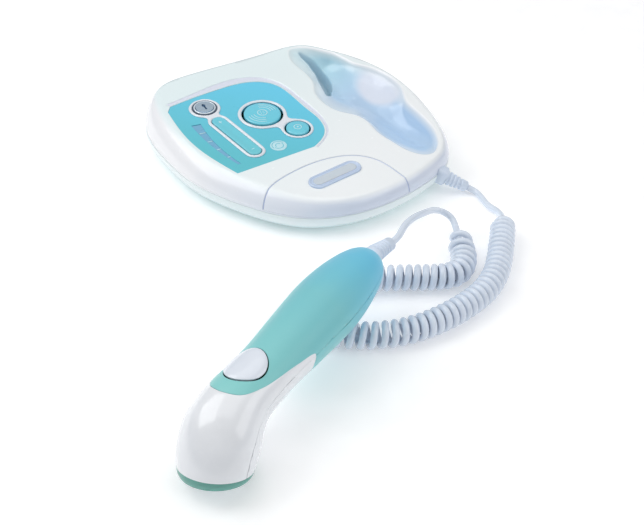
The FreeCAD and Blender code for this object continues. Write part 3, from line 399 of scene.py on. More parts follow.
def mesh_piece(name, points, faces, painted=None):
    """Smooth-shaded object with corners in millimetres; painted holds numbers for each corner."""
    mesh = bpy.data.meshes.new(name)
    corners = [tuple(point) for point in np.asarray(points) * MM]
    mesh.from_pydata(corners, [], [tuple(int(i) for i in face) for face in faces])
    for label, values in (painted or {}).items():
        layer = mesh.attributes.new(label, "FLOAT", "POINT")
        layer.data.foreach_set("value", np.asarray(values, np.float32))
    mesh.shade_smooth()
    piece = bpy.data.objects.new(name, mesh)
    bpy.context.scene.collection.objects.link(piece)
    return piece


@contextlib.contextmanager
def opened(piece):
    """The piece's mesh as one that can be worked on, written back at the end."""
    work = bmesh.new()
    work.from_mesh(piece.data)
    yield work
    work.to_mesh(piece.data)
    work.free()


# Places across a rolled edge, as shares of its radius outwards and down.
LIP_ROWS = [(0.35, 0.08), (0.75, 0.34), (1.0, 1.0)]


def add_lip(piece, radius, depth):
    """Rolls every open edge over into a short wall, as a moulded part has."""
    with opened(piece) as work:
        roll_edges(work, radius, depth)
    piece.data.shade_smooth()
    return piece


def roll_edges(work, radius, depth):
    """Adds rows of faces along the open edges: outwards by the radius, then down to the depth."""
    work.normal_update()
    rim = [edge for edge in work.edges if edge.is_boundary]
    place = {}
    for edge in rim:
        a, b = edge.verts
        away = (a.co + b.co) / 2 - edge.link_faces[0].calc_center_median()
        for vert in edge.verts:
            start, push = place.setdefault(vert, (vert.co.copy(), Vector()))
            run = (b.co - a.co).normalized()
            push += (away - run * away.dot(run)).normalized()
    top = {vert: vert.normal.copy() for vert in place}
    current = {vert: vert for vert in place}
    for out, down in LIP_ROWS + [(1.0, depth / radius)]:
        made = {}
        for vert, (start, push) in place.items():
            aside = push - top[vert] * push.dot(top[vert])
            aside = aside.normalized() if aside.length > 1e-9 else Vector()
            made[vert] = work.verts.new(start + (aside * out - top[vert] * down) * radius * MM, vert)
        for edge in rim:
            a, b = edge.verts
            if edge.link_loops[0].vert is not a:
                a, b = b, a
            work.faces.new((current[b], current[a], made[a], made[b])).smooth = True
        current = made


# ---- base ----

SEAM = 16.0
CROWN = 32.0
CROWN_SLOPE = math.tan(math.radians(4))
SHOULDER_TURN = math.radians(70)
SHOULDER_SPREAD = 22.0
PAN_TOP = SEAM - 0.15
PAN_FLOOR = 2.0
PAN_TURN = math.radians(80)
PAN_INSET = 11.5
BASE_OUTLINE = [
    (-17, -80), (14, -84.5), (41, -81.5), (64, -75), (79, -67), (90, -53), (98, -30), (103, 0), (102, 32),
    (93, 60), (80, 81), (64, 95.5), (42, 102.5), (4, 105), (-40, 105.5), (-62, 102), (-76, 92.5), (-83, 78),
    (-86, 58), (-86, 36), (-82, 3), (-72, -23), (-58, -47.5), (-41, -67),
]
PANEL_LEFT = [(-59.5, -20.5), (-65.4, -3), (-69.8, 14.2), (-71.8, 34.4), (-70.2, 64)]
PANEL_RIGHT = [
    (-66, 69.5), (-46.8, 71.8), (-24.4, 73.1), (-9, 72.6), (4, 68.4), (12.5, 60.5), (16.8, 46), (18.2, 24),
    (19.6, 6.3), (16.6, -6), (9, -14.5), (0, -19.5),
]
GROOVE = [
    (-66, 74), (-44, 77.6), (-7, 80), (9, 73), (18.5, 59), (22, 37), (23, 4), (18.5, -9), (3, -21),
]
LID_ARCH = [
    (-75, -63), (-60, -51.5), (-45.6, -42.1), (-30, -37.2), (-12.5, -34.8), (3.6, -35.7), (17.5, -40.3),
    (26.2, -47.4), (31.4, -56.5), (34, -68), (35.8, -81), (37.4, -95),
]
LID_LOW = math.radians(7)
# Half the gap of the lid's seam, how far the ledge below it reaches in, and how deep it lies.
LID_GAP = 0.62
LEDGE_REACH = 2.4
LEDGE_DROP = 0.5
PANEL_GAP = 0.25
# Hand rest: its rim, then places in it with the depth below the crown there.
REST_RIM = [
    (42, 89.5), (45, 93), (50, 93.4), (55, 92), (60, 89.6), (65, 86.2), (70, 81.6), (74, 77), (77.3, 70),
    (79.2, 63.5), (81.4, 56.5), (86, 50.4), (90.4, 44), (93.4, 36.5), (95.3, 29), (96, 20.5), (94.9, 12),
    (91.4, 3.6), (88, -4.5), (87.5, -13), (87.5, -22.6), (86.9, -32), (85.2, -42), (82, -50.5), (78, -57),
    (74, -61), (69.5, -64), (65, -64.5), (54.3, -55.2), (49.6, -40), (47, -24.2), (47.6, -12), (44.6, -2),
    (38.6, 5.3), (34.4, 12.4), (32.4, 21), (32.4, 31), (34.6, 39.5), (38.6, 47.3), (40.4, 56), (40.1, 68),
    (39.6, 81),
]
REST_DEPTHS = [
    (48, 91, 2.4), (62, 87, 3.4), (69, 80.6, 4.4), (74, 73, 5), (70, 76, 8), (74.5, 66, 6.5),
    (77.6, 60.1, 4), (67.5, 76, 10), (70.5, 67.7, 10), (72.3, 55, 8), (66.2, 59.3, 12), (65.9, 48.4, 11),
    (58.5, 43.4, 12), (55.4, 31.7, 9.5), (64.5, 37.6, 10.5), (72.2, 42.8, 8), (77, 48.8, 5.8),
    (53.5, 20.4, 6.5), (61.7, 26.5, 8.5), (59.4, 16.3, 8), (50.8, 8, 4), (52.2, 3.8, 4.5),
    (84.3, 48.5, 3.5), (82.2, 43.2, 6.5), (88, 42.5, 4), (91, 33.2, 4.5), (84.7, 35.2, 8), (88, 26.2, 7.5),
    (93, 21.4, 4.5), (89.5, 10.3, 5), (83, 11.6, 7.5), (77, 21.9, 9.5), (72.6, 25.1, 10), (75.4, 32.7, 9),
    (72.3, 16.3, 10), (77.2, 9.3, 8.5), (84, 0, 5.5), (70.5, 4.5, 11.5), (74.3, -3, 13.8),
    (76.5, -11, 14.5), (77.5, -20.5, 14.5), (76.5, -32, 13), (74, -45, 9), (70, -57, 4.5), (84.4, -7, 7),
    (84.3, -16, 8), (84.6, -25, 8), (83.6, -36, 7.2), (79.6, -48, 5.5), (80.8, -3.5, 10), (81, -15, 12),
    (57, 2, 6.5), (55, -9, 6), (54.5, -22, 5.5), (57.2, -36, 5.2), (61, -48, 4.5), (65.2, 0.8, 10.5),
    (65, -15, 10.5), (66.5, -28, 10.5), (68.5, -40, 9), (39, 44.4, 1.6), (36, 34.4, 2.2), (37, 24.1, 2.6),
    (40.3, 14.5, 3), (44.8, 6.9, 3), (44, 87, 1.6), (45, 75, 2), (45, 62, 2.2), (43, 50, 2.2),
    (50.5, 86, 3.2), (51, 75, 3.2), (49.5, 62, 3.2), (45.4, 47.3, 3), (43.6, 38, 3),
]
# Deep slot beside the thumb's edge: its outline, and its depth by distance to the back.
SLOT_OUTLINE = [
    (51.6, 90.3), (51.8, 80.5), (51, 69.3), (48.6, 57.4), (45.2, 47.3), (43.6, 40.1), (43.2, 32.5),
    (45.8, 32.8), (51, 39.7), (56, 46.5), (60, 53.6), (62.8, 61.6), (64.2, 69.3), (63.2, 76.6), (60, 82.6),
    (55.5, 87.5),
]
SLOT_DEPTH = [(30, 4), (36, 10), (44, 18), (54, 23), (66, 23), (76, 19), (84, 12), (90.5, 4)]
BADGE_PLACE = (-4, -53)

outline = smooth_line(BASE_OUTLINE, 1.9, closed=True)
outline_normals = normals_right(outline, closed=True)
shoulder_inset = 5.2 + 7.3 * np.minimum(outline_normals[:, 0], 0) ** 2
crown_loop = outline - outline_normals * shoulder_inset[:, None]


def crown_at(y):
    """Height of the top's sloping plane."""
    return CROWN + np.asarray(y) * CROWN_SLOPE


def shoulder_points(index, turn):
    """Flat and solid points of the shoulder at places round the outline and a turn from upright."""
    low = np.floor(index).astype(int) % len(outline)
    high = (low + 1) % len(outline)
    part = (index - np.floor(index))[:, None]
    edge = outline[low] * (1 - part) + outline[high] * part
    normal = outline_normals[low] * (1 - part) + outline_normals[high] * part
    inset = shoulder_inset[low] * (1 - part[:, 0]) + shoulder_inset[high] * part[:, 0]
    crown = edge - normal * inset[:, None]
    flat = crown + normal * SHOULDER_SPREAD * (1 - turn / SHOULDER_TURN)
    shrink = (1 - math.cos(turn)) / (1 - math.cos(SHOULDER_TURN))
    rise = math.sin(turn) / math.sin(SHOULDER_TURN)
    skirt = 0.35 * (1 - step_up(math.degrees(turn), 5.0, 6.5))
    plan = edge - normal * (inset * shrink + skirt)[:, None]
    height = SEAM + rise * (crown_at(plan[:, 1]) - SEAM)
    return flat, np.column_stack([plan, height])


def smooth_sheet(rows):
    """Function for the smooth bent sheet that passes near the rows' third numbers."""
    rows = np.array(rows, float)

    def spring(a, b):
        apart = np.linalg.norm(a[:, None] - b[None], axis=2) / 10
        return apart**2 * np.log(apart + 1e-9)

    count = len(rows)
    matrix = np.zeros((count + 3, count + 3))
    matrix[:count, :count] = spring(rows[:, :2], rows[:, :2]) + 0.02 * np.eye(count)
    matrix[:count, count:] = np.column_stack([np.ones(count), rows[:, :2] / 10])
    matrix[count:, :count] = matrix[:count, count:].T
    weights = np.linalg.solve(matrix, np.concatenate([rows[:, 2], np.zeros(3)]))
    return lambda points: (spring(points, rows[:, :2]) @ weights[:count]
                           + np.column_stack([np.ones(len(points)), points / 10]) @ weights[count:])


rest_rim = smooth_line(REST_RIM, 1.1, closed=True)[::-1]
slot_edge = smooth_line(SLOT_OUTLINE, 1.0, closed=True)
rest_floor = smooth_sheet(REST_DEPTHS)


def depth_inside(points, loop):
    """How far each flat point is inside a closed loop; outside it the number is negative."""
    return distance_to(points, ring(loop)) * np.where(inside(points, loop), 1, -1)


def rest_depth(points):
    """How far the hand rest lies below the crown."""
    within = depth_inside(points, rest_rim)
    near = within > -0.5
    found = np.zeros(len(points))
    if not near.any():
        return found
    place = points[near]
    run = np.clip(within[near], 0, None)
    # The edge is soft beside the thumb and steeper on the side of the fingers.
    steep = 0.8 + 1.5 * step_up(place[:, 0], 52, 70)
    edge = (np.sqrt(run**2 + 0.2) - math.sqrt(0.2)) * steep
    floor = np.clip(rest_floor(place), 0.5, None)
    deep = (edge + floor - np.sqrt((edge - floor) ** 2 + 0.6)) / 2
    deep = np.clip(deep, 0, None) * step_up(run, 0, 0.8)
    slot = table_at(SLOT_DEPTH, place[:, 1])[:, 0]
    drop = step_up(depth_inside(place, slot_edge), 0, 2.3)
    found[near] = deep + np.clip(slot - deep, 0, None) * drop
    return found


def pressed(points):
    """Solid points with the hand rest sunk into them, and how deep it is there."""
    deep = rest_depth(points[:, :2])
    crown = crown_at(points[:, 1])
    below = np.clip(crown - points[:, 2], 0, None)
    found = points.copy()
    found[:, 2] = crown - np.hypot(deep, below) + raised_at(points)
    return found, deep


def raised_at(points):
    """Swell of the top behind the hand rest, which fades out down the shoulder."""
    swell = np.exp(-(((points[:, 0] - 54) / 24) ** 2) - ((points[:, 1] - 96) / 12) ** 2)
    return 2.6 * swell * step_up(points[:, 2], 22, 34)


def arch_crossings(arch, turn):
    """Places round the outline where an arch line crosses the shoulder at a turn, left then right."""
    _, solid = shoulder_points(np.arange(len(outline), dtype=float), turn)
    plan = solid[:, :2]
    ahead = (np.roll(plan, -1, axis=0) - plan)[:, None]
    run = np.diff(arch, axis=0)[None]
    gap = arch[None, :-1] - plan[:, None]
    turn_of = ahead[..., 0] * run[..., 1] - ahead[..., 1] * run[..., 0]
    turn_of = np.where(np.abs(turn_of) < 1e-9, np.inf, turn_of)
    along = (gap[..., 0] * run[..., 1] - gap[..., 1] * run[..., 0]) / turn_of
    across = (gap[..., 0] * ahead[..., 1] - gap[..., 1] * ahead[..., 0]) / turn_of
    hits = np.argwhere((along >= 0) & (along < 1) & (across >= 0) & (across < 1))
    found = sorted((plan[i][0], i + along[i, j]) for i, j in hits)
    return found[0][1], found[-1][1]


def lid_loop(shift):
    """Edge of the lid, moved outwards by the shift: on the flat pattern, and solid."""
    arch = smooth_line(LID_ARCH, 1.5)
    arch = arch - normals_right(arch) * shift
    turns = np.linspace(LID_LOW - shift * 0.03, SHOULDER_TURN, 12)
    legs = [arch_crossings(arch, turn) for turn in turns]
    left = [shoulder_points(np.array([leg[0]]), turn) for leg, turn in zip(legs, turns)]
    right = [shoulder_points(np.array([leg[1]]), turn) for leg, turn in zip(legs, turns)]
    crown = arch[inside(arch, crown_loop) & (distance_to(arch, ring(crown_loop)) > 0.8)]
    start, end = legs[0]
    if end < start:
        end += len(outline)
    low = np.arange(math.ceil(start + 0.3), math.floor(end - 0.3) + 1, dtype=float)
    low_flat, low_solid = shoulder_points(low[::-1] % len(outline), turns[0])
    flat = [np.vstack([leg[0] for leg in left]), crown, np.vstack([leg[0] for leg in right[::-1]]), low_flat]
    solid = [np.vstack([leg[1] for leg in left]), np.column_stack([crown, crown_at(crown[:, 1])]),
             np.vstack([leg[1] for leg in right[::-1]]), low_solid]
    return np.vstack(flat)[::-1], np.vstack(solid)[::-1]


def panel_loop(margin):
    """Edge of the control panel, moved outwards by the margin."""
    loop = np.vstack([smooth_line(side, 1.5)[::-1] for side in (PANEL_LEFT, PANEL_RIGHT)])
    middle = loop.mean(axis=0)
    if np.sum(np.cross(loop - middle, np.roll(loop, -1, axis=0) - middle)) < 0:
        loop = loop[::-1]
    fine = []
    for a, b in zip(loop, np.roll(loop, -1, axis=0)):
        count = max(1, int(np.linalg.norm(b - a) / 1.5))
        fine += [a + (b - a) * i / count for i in range(count)]
    fine = np.array(fine)
    return fine + normals_right(fine, closed=True) * margin


class Pattern:
    """Flat pattern of the base's top: known points hold their own solid places."""

    def __init__(self):
        self.flat = []
        self.solid = []

    def add(self, flat, solid):
        self.flat.append(flat)
        self.solid.append(solid)
        return flat

    def add_crown(self, flat):
        return self.add(flat, np.column_stack([flat, crown_at(flat[:, 1])]))

    def solid_of(self, points):
        """The solid place of each flat point, taken from the nearest known one."""
        flat = np.vstack(self.flat)
        solid = np.vstack(self.solid)
        table = {(round(p[0], 2), round(p[1], 2)): i for i, p in enumerate(flat)}
        found = np.column_stack([points, crown_at(points[:, 1])])
        for i, point in enumerate(points):
            known = table.get((round(point[0], 2), round(point[1], 2)))
            if known is None:
                known = int(np.argmin(np.sum((flat - point) ** 2, axis=1)))
            found[i] = solid[known]
        return found


def base_pattern():
    """Pattern of the base's top with everything but its openings, and its outermost loop."""
    pattern = Pattern()
    for loop, shifts in ((rest_rim, (-0.8, 0, 0.7, 1.4, 2.1)), (slot_edge, (-0.7, 0, 0.6, 1.2, 1.8, 2.4))):
        for shift in shifts:
            pattern.add_crown(loop - normals_right(loop, closed=True) * shift)
    outer = None
    for turn in np.radians([0, 2.5, 5, 5.6, 6.4, 9, 13, 18, 24, 30, 37, 44, 51, 57, 62, 66, 70]):
        flat, solid = shoulder_points(np.arange(len(outline), dtype=float), turn)
        pattern.add(flat, solid)
        if outer is None:
            outer = flat
    low, high = crown_loop.min(axis=0), crown_loop.max(axis=0)
    plain = hex_grid(low, high, 2.6)
    plain = plain[inside(plain, crown_loop) & (distance_to(plain, ring(crown_loop)) > 1.3)]
    fine = hex_grid((28, -72), (101, 102), 1.1)
    fine = fine[inside(fine, crown_loop) & (distance_to(fine, ring(crown_loop)) > 0.7)]
    pattern.add_crown(plain[depth_inside(plain, rest_rim) < -5])
    within, sunk = depth_inside(fine, rest_rim), depth_inside(fine, slot_edge)
    apart = (np.abs(within - 0.65) > 2.3) & (np.abs(sunk - 0.85) > 2.3)
    pattern.add_crown(fine[(within >= -5) & apart])
    return pattern, outer


def groove_depth(points):
    """How far the band beside the panel is sunk, with a thin raised lip at the panel."""
    band = smooth_line(GROOVE, 1.0)
    loop = np.vstack([band, panel_edge_right[::-1]])
    within = inside(points, loop)
    from_band = distance_to(points, band)
    from_panel = distance_to(points, ring(panel_loop(PANEL_GAP)))
    depth = 0.75 * step_up(from_band, 0.0, 0.8) * step_up(from_panel, 0.55, 1.25)
    return np.where(within, depth, 0)


def build_base_top():
    """The base's top, its front lid and the ledge under the lid's seam."""
    pattern, outer = base_pattern()
    lid_flat = pattern.add(*lid_loop(LID_GAP))
    cover_flat = pattern.add(*lid_loop(-LID_GAP))
    hole = pattern.add_crown(panel_loop(PANEL_GAP))
    band = smooth_line(GROOVE, 0.9)
    for shift in (-0.35, 0.0, 0.3, 0.6, 0.9, 1.4, 2.2):
        pattern.add_crown(band + normals_right(band) * shift)
    for margin in (0.75, 1.0, 1.3, 1.6, 2.2):
        pattern.add_crown(panel_loop(margin))
    spare = thinned(np.vstack(pattern.flat), 0.28)
    result = []
    for name, loop, holes in (("base_top", outer, [lid_flat, hole]), ("front_lid", cover_flat, [])):
        flat, faces = sheet_faces(loop, holes, spare, 0.45)
        solid = pattern.solid_of(flat)
        sunk, deep = pressed(solid)
        on_crown = np.abs(solid[:, 2] - crown_at(solid[:, 1])) < 0.02
        sunk[:, 2] -= np.where(on_crown, groove_depth(solid[:, :2]), 0)
        plan = solid[:, :2]
        # Numbers that steer painted shade and light in the shell's material: shade down the shoulder, in the
        # sunk band and deep in the hand rest and its slot, lighter shade on the rest's middle lobe, and a
        # painted highlight round its rim.
        result.append(mesh_piece(name, sunk, faces, {
            "side": np.clip((crown_at(plan[:, 1]) - solid[:, 2]) / 6, 0, 1),
            "band": (groove_depth(plan) > 0.3) * on_crown,
            "rim": rim_highlight_at(plan),
            "hollow_shade": np.clip(deep / 12, 0, 1),
            "slot_shade": slot_shade_at(plan),
            "lit_lobe": lit_lobe_at(plan),
        }))
    # The ledge under the seam's gap carries the seam_shade material, a painted shade, so the gap shows as a
    # shaded line.
    inner = pattern.add(*lid_loop(-LEDGE_REACH))
    ledge_flat, faces = sheet_faces(lid_flat, [inner], spare[:1], 0.45)
    ledge = mesh_piece("lid_ledge", pattern.solid_of(ledge_flat), faces, {"side": np.ones(len(ledge_flat))})
    for corner, normal in [(corner, corner.normal.copy()) for corner in ledge.data.vertices]:
        corner.co -= normal * LEDGE_DROP * MM
    return result + [ledge]


def slot_shade_at(points):
    """Share of the painted shade in the hand rest's deep slot."""
    return step_up(depth_inside(points, slot_edge), 0.2, 1.0)


def rim_highlight_at(points):
    """Share of the painted highlight, a pale line round the hand rest, stronger on the fingers' side."""
    near = 1 - step_up(np.abs(depth_inside(points, rest_rim) - 0.25), 0.2, 0.85)
    return near * (0.25 + 0.75 * step_up(points[:, 0] + 0.25 * points[:, 1], 62, 78))


def lit_lobe_at(points):
    """Share of a lighter painted shade on the hand rest's middle lobe, where it catches more light."""
    away = np.hypot((points[:, 0] - 85) / 17, (points[:, 1] - 27) / 24)
    return 1 - step_up(away, 0.65, 1.1)


def thinned(points, gap):
    """The points without those that fall in the same small cell as an earlier one."""
    seen = set()
    kept = []
    for point in points:
        cell = (int(point[0] // gap), int(point[1] // gap))
        if cell not in seen:
            seen.add(cell)
            kept.append(point)
    return np.array(kept)


def finish_piece(piece, slot, body, *nodes):
    """Gives a piece its slot and its body, and has it stand for the CAD nodes."""
    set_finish(piece, slot)
    if nodes:
        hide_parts(*nodes)
    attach(piece, body)


panel_edge_right = smooth_line(PANEL_RIGHT, 1.0)
base_top, front_lid, lid_ledge = build_base_top()
finish_piece(add_lip(base_top, 0.22, 2.4), "shell_white", "base", "base_upper_shell")
finish_piece(add_lip(front_lid, 0.22, 2.4), "shell_white", "lid", "compartment_lid")
finish_piece(lid_ledge, "shell_white", "base")

# ---- handset ----

HANDSET_FRAME = (
    Matrix.Translation((-38.1, -146.9, 38.8))
    @ Matrix.Rotation(math.radians(204.6), 4, "Z")
    @ Matrix.Rotation(math.radians(3.3), 4, "Y")
    @ Matrix.Rotation(math.radians(11.5), 4, "X")
)
# Distances from the handset's tail: its whole length, the end of its straight part, and where its
# skins end and start.
HANDSET_LENGTH = 164.7
HANDSET_STRAIGHT = 121.7
HANDSET_END = 161.5
HANDSET_TAIL = 0.2
HANDSET_BEND_RADIUS = (HANDSET_LENGTH - HANDSET_STRAIGHT) / math.radians(70)
HANDSET_ROUNDNESS = 0.92
HANDSET_WIDTHS = [
    (0, 6), (2, 9), (6.5, 12.3), (12, 14.6), (22, 17.2), (35, 19.2), (49, 20), (77, 18.5),
    (104, 16.9), (121.7, 17.4), (134, 19.4), (145, 21.4), (156, 21), (161.5, 20.4),
]
# Edge of the coloured grip: distance from the tail, and degrees up from the parting line.
GRIP_EDGE = [
    (82.6, 3), (83.4, 6), (86, 9), (91.5, 12.6), (99, 18), (109.5, 25.2), (120, 34.5), (127, 48),
    (130.3, 67), (131.2, 90),
]
LOW_GRIP_EDGE = [(82.75, -0.4), (83.0, -4), (84.2, -12), (85.4, -30), (85.8, -90)]
# Width of the flat pattern for a turn of one radian, and half a turn on it.
PATTERN_WIDTH = 19.0
HALF_TURN = math.pi * PATTERN_WIDTH
PARTING_GAP = 0.25
TRIGGER_PLACE = 115.0
TRIGGER_HALF = (12.0, 11.0)
TRIGGER_HEIGHT = 16


def place_in(frame, points):
    """Points of a local frame in the scene's frame."""
    matrix = np.array(frame)
    return np.asarray(points) @ matrix[:3, :3].T + matrix[:3, 3]


def handset_points(along, turn, above=0.0):
    """Solid points of the handset's skin at distances from the tail and turns from its near side."""
    half = table_at(HANDSET_WIDTHS, along)[:, 0]
    across = (half + above) * np.cos(turn)
    high = (half * HANDSET_ROUNDNESS + above) * np.sin(turn)
    bend = np.clip((along - HANDSET_STRAIGHT) / HANDSET_BEND_RADIUS, 0, None)
    x = np.minimum(along, HANDSET_STRAIGHT) + (HANDSET_BEND_RADIUS + high) * np.sin(bend)
    z = (HANDSET_BEND_RADIUS + high) * np.cos(bend) - HANDSET_BEND_RADIUS
    return place_in(HANDSET_FRAME, np.column_stack([x, across, z]))


def to_pattern(along, degrees):
    """Flat pattern's points for distances from the tail and degrees up from the parting line."""
    return np.column_stack([along, np.radians(degrees) * PATTERN_WIDTH])


def on_top(x, y):
    """Flat pattern's points for places on the handset's back, seen from above it."""
    half = table_at(HANDSET_WIDTHS, x)[:, 0]
    bent = (x - HANDSET_STRAIGHT) * HANDSET_BEND_RADIUS / (HANDSET_BEND_RADIUS + TRIGGER_HEIGHT)
    along = np.where(x > HANDSET_STRAIGHT, HANDSET_STRAIGHT + bent, x)
    return np.column_stack([along, np.arccos(np.clip(y / half, -1, 1)) * PATTERN_WIDTH])


def trigger_loop(more, count):
    """Oval round the trigger, larger than it by some on each side."""
    return oval((TRIGGER_PLACE, 0), (TRIGGER_HALF[0] + more, TRIGGER_HALF[1] + more), count)


def handset_skin(name, loop, holes):
    """Part of the handset's skin inside a loop of its flat pattern."""
    low, high = loop.min(axis=0), loop.max(axis=0)
    flat, faces = sheet_faces(loop, holes, hex_grid(low, high, 1.3), 0.7)
    solid = handset_points(flat[:, 0], flat[:, 1] / PATTERN_WIDTH)
    piece = mesh_piece(name, solid, faces, {"along": flat[:, 0] / HANDSET_LENGTH})
    middle = handset_points(np.array([float(np.median(flat[:, 0]))]), np.array([0.0]), -18)[0]
    with opened(piece) as work:
        work.normal_update()
        middle = Vector(middle) * MM
        if sum(face.normal.dot(face.calc_center_median() - middle) for face in work.faces) < 0:
            bmesh.ops.reverse_faces(work, faces=work.faces)
    return piece


def edge_line(rows):
    """Smooth line on the flat pattern through rows of distance and degrees."""
    line = smooth_line(rows, 1.4)
    return to_pattern(line[:, 0], line[:, 1])


def far_side(line, half_turn):
    """The line mirrored to the handset's far side, and run backwards."""
    return np.column_stack([line[:, 0], half_turn - line[:, 1]])[::-1]


def straight(a, b, spacing=1.5):
    """Points from a to just before b."""
    a, b = np.array(a, float), np.array(b, float)
    count = max(1, int(np.linalg.norm(b - a) / spacing))
    return np.array([a + (b - a) * i / count for i in range(count)])


def half_loops(rim, gap, side):
    """Loops of a grip and a shell that meet at a rim, above or below the parting line."""
    near, far = side * PARTING_GAP, side * (HALF_TURN - PARTING_GAP)
    grip, shell = rim - np.array([gap, 0]), rim + np.array([gap, 0])
    low, high = np.array([HANDSET_TAIL, near]), np.array([HANDSET_TAIL, far])
    tail = np.vstack([straight(low, grip[0]), grip, straight(grip[-1], high)[1:], straight(high, low)])
    low, high = np.array([HANDSET_END, near]), np.array([HANDSET_END, far])
    head = np.vstack([straight(shell[0], low), straight(low, high), straight(high, shell[-1]),
                      shell[::-1][:-1]])
    return tail, head


def build_handset():
    """The four skins of the handset, with the trigger's opening in the upper grip."""
    upper = edge_line([row for row in GRIP_EDGE if row[1] >= 6])
    tip = edge_line([(82.75, 0.4), (82.5, 3), (83.4, 6)])
    rim = np.vstack([tip[:-1], upper, far_side(upper[:-1], HALF_TURN), far_side(tip, HALF_TURN)[1:]])
    upper_grip, upper_shell = half_loops(rim, 0.12, 1)
    low = edge_line(LOW_GRIP_EDGE)
    lower_grip, lower_shell = half_loops(np.vstack([low, far_side(low[:-1], -HALF_TURN)]), 0.1, -1)
    well = on_top(*trigger_loop(0.6, 64).T)
    for name, loop, holes, slot in (("upper_grip", upper_grip, [well], "grip_teal"),
                                    ("upper_shell", upper_shell, [], "shell_white"),
                                    ("lower_grip", lower_grip, [], "grip_teal"),
                                    ("lower_shell", lower_shell, [], "shell_white")):
        piece = add_lip(handset_skin(name, loop, holes), 0.12, 0.6 if holes else 2.2)
        finish_piece(piece, slot, "handset", f"handset_{name}")


build_handset()

# ---- panel, buttons and glands ----

PANEL_FRAME = Matrix.Translation((0, 0, CROWN)) @ Matrix.Rotation(math.radians(4), 4, "X")
PANEL_FACE = -0.3
RIM_TOP = 0.75
DOME_TOP = 1.5
DOME_DROP = 0.6
SCAN_PLACE = (-12.8, 30.6)
SINGLE_PLACE = (0.6, 3.9)
LOCK_PLACE = (-45.5, 56.2)
EMBLEM_PLACE = (-20.8, -6.8)
ROCKER_PLACE = (-41.0, 16.4)
ROCKER_TURN = math.radians(98.2)
ROCKER_HALF = 20.9
BADGE_TURN = math.radians(6)
LEVEL_INNER_EDGE = [(-56.2, 41), (-57.2, 17), (-52.4, -12)]
LEVEL_OUTER_EDGE = [(-62.8, 42.2), (-61.5, 19), (-54.6, -12)]
LEVEL_COUNT = 5


def on_panel(place, height):
    """Local frame at a flat place on the panel, at a height over it."""
    return PANEL_FRAME @ Matrix.Translation((*place, height))


def lathe(name, profile, frame, sides=56, squareness=2.0, wide=1.0, open_middle=False):
    """Round piece from radius and height pairs; a squareness above 2 makes it boxy."""
    angle = np.linspace(0, 2 * math.pi, sides, endpoint=False)
    c, s = np.cos(angle), np.sin(angle)
    size = (np.abs(c) ** squareness + np.abs(s) ** squareness) ** (-1 / squareness)
    points = []
    for radius, height in profile:
        points += [(radius * k * x, radius * k * y * wide, height) for k, x, y in zip(size, c, s)]
    faces = band_faces(len(profile), sides)
    if not open_middle:
        faces.append(tuple(range(sides))[::-1])
        faces.append(tuple(range(len(points) - sides, len(points))))
    return mesh_piece(name, place_in(frame, points), faces)


def pad_points(loop, heights):
    """Rows of a flat loop drawn in by distances, each at its own height."""
    normals = normals_right(loop, closed=True)
    return [np.column_stack([loop - normals * inset, np.full(len(loop), height)])
            for inset, height in heights]


def pad(name, loop, heights, frame, dish=0.0):
    """Closed piece with a flat loop as its outline and rounded edges."""
    rows = pad_points(loop, heights)
    faces = band_faces(len(rows), len(loop))
    points = np.vstack(rows)
    faces.append(tuple(range(len(loop)))[::-1])
    edge = rows[-1][:, :2]
    flat, cap = sheet_faces(edge, [], hex_grid(edge.min(axis=0), edge.max(axis=0), 1.2), 0.5)
    height = rows[-1][0, 2] + dish * step_up(distance_to(flat, ring(edge)), 0, 4.5)
    faces += [tuple(int(i) + len(points) for i in face) for face in cap]
    points = np.vstack([points, np.column_stack([flat, height])])
    piece = mesh_piece(name, place_in(frame, points), faces)
    with opened(piece) as work:
        bmesh.ops.remove_doubles(work, verts=work.verts, dist=1e-6)
        bmesh.ops.recalc_face_normals(work, faces=work.faces)
    piece.data.shade_smooth()
    return piece


def rim_ring(name, outer, wells, low, high, frame):
    """Raised rim with rounded edges round one or more wells."""
    spare = hex_grid(outer.min(axis=0), outer.max(axis=0), 0.8)
    flat, faces = sheet_faces(outer, wells, spare, 0.35)
    edge = distance_to(flat, ring(outer))
    for well in wells:
        edge = np.minimum(edge, distance_to(flat, ring(well)))
    round_part = np.sqrt(np.clip(1 - (1 - np.clip(edge / 1.1, 0, 1)) ** 2, 0, 1))
    points = np.column_stack([flat, low + (high - low) * (0.35 + 0.65 * round_part)])
    piece = mesh_piece(name, place_in(frame, points), faces)
    return add_lip(piece, 0.1, 1.2)


def star_outline(centre, distance, count=160, reach=60.0):
    """Loop where a distance function turns positive, seen from a centre inside it."""
    angle = np.linspace(0, 2 * math.pi, count * 4, endpoint=False)
    aim = np.stack([np.cos(angle), np.sin(angle)], axis=1)
    low, high = np.zeros(len(angle)), np.full(len(angle), reach)
    for _ in range(32):
        middle = (low + high) / 2
        within = distance(np.array(centre) + aim * middle[:, None]) < 0
        low, high = np.where(within, middle, low), np.where(within, high, middle)
    loop = np.array(centre) + aim * low[:, None]
    return smooth_line(loop[::4], 1.0, closed=True)


def soft_union(a, b, width):
    overlap = np.clip(width - np.abs(a - b), 0, None) / width
    return np.minimum(a, b) - overlap**2 * width / 4


def pill_distance(points, half, radius):
    aim = np.array([math.cos(ROCKER_TURN), math.sin(ROCKER_TURN)])
    offset = points - np.array(ROCKER_PLACE)
    along = np.clip(offset @ aim, -half, half)
    return np.linalg.norm(offset - along[:, None] * aim, axis=1) - radius


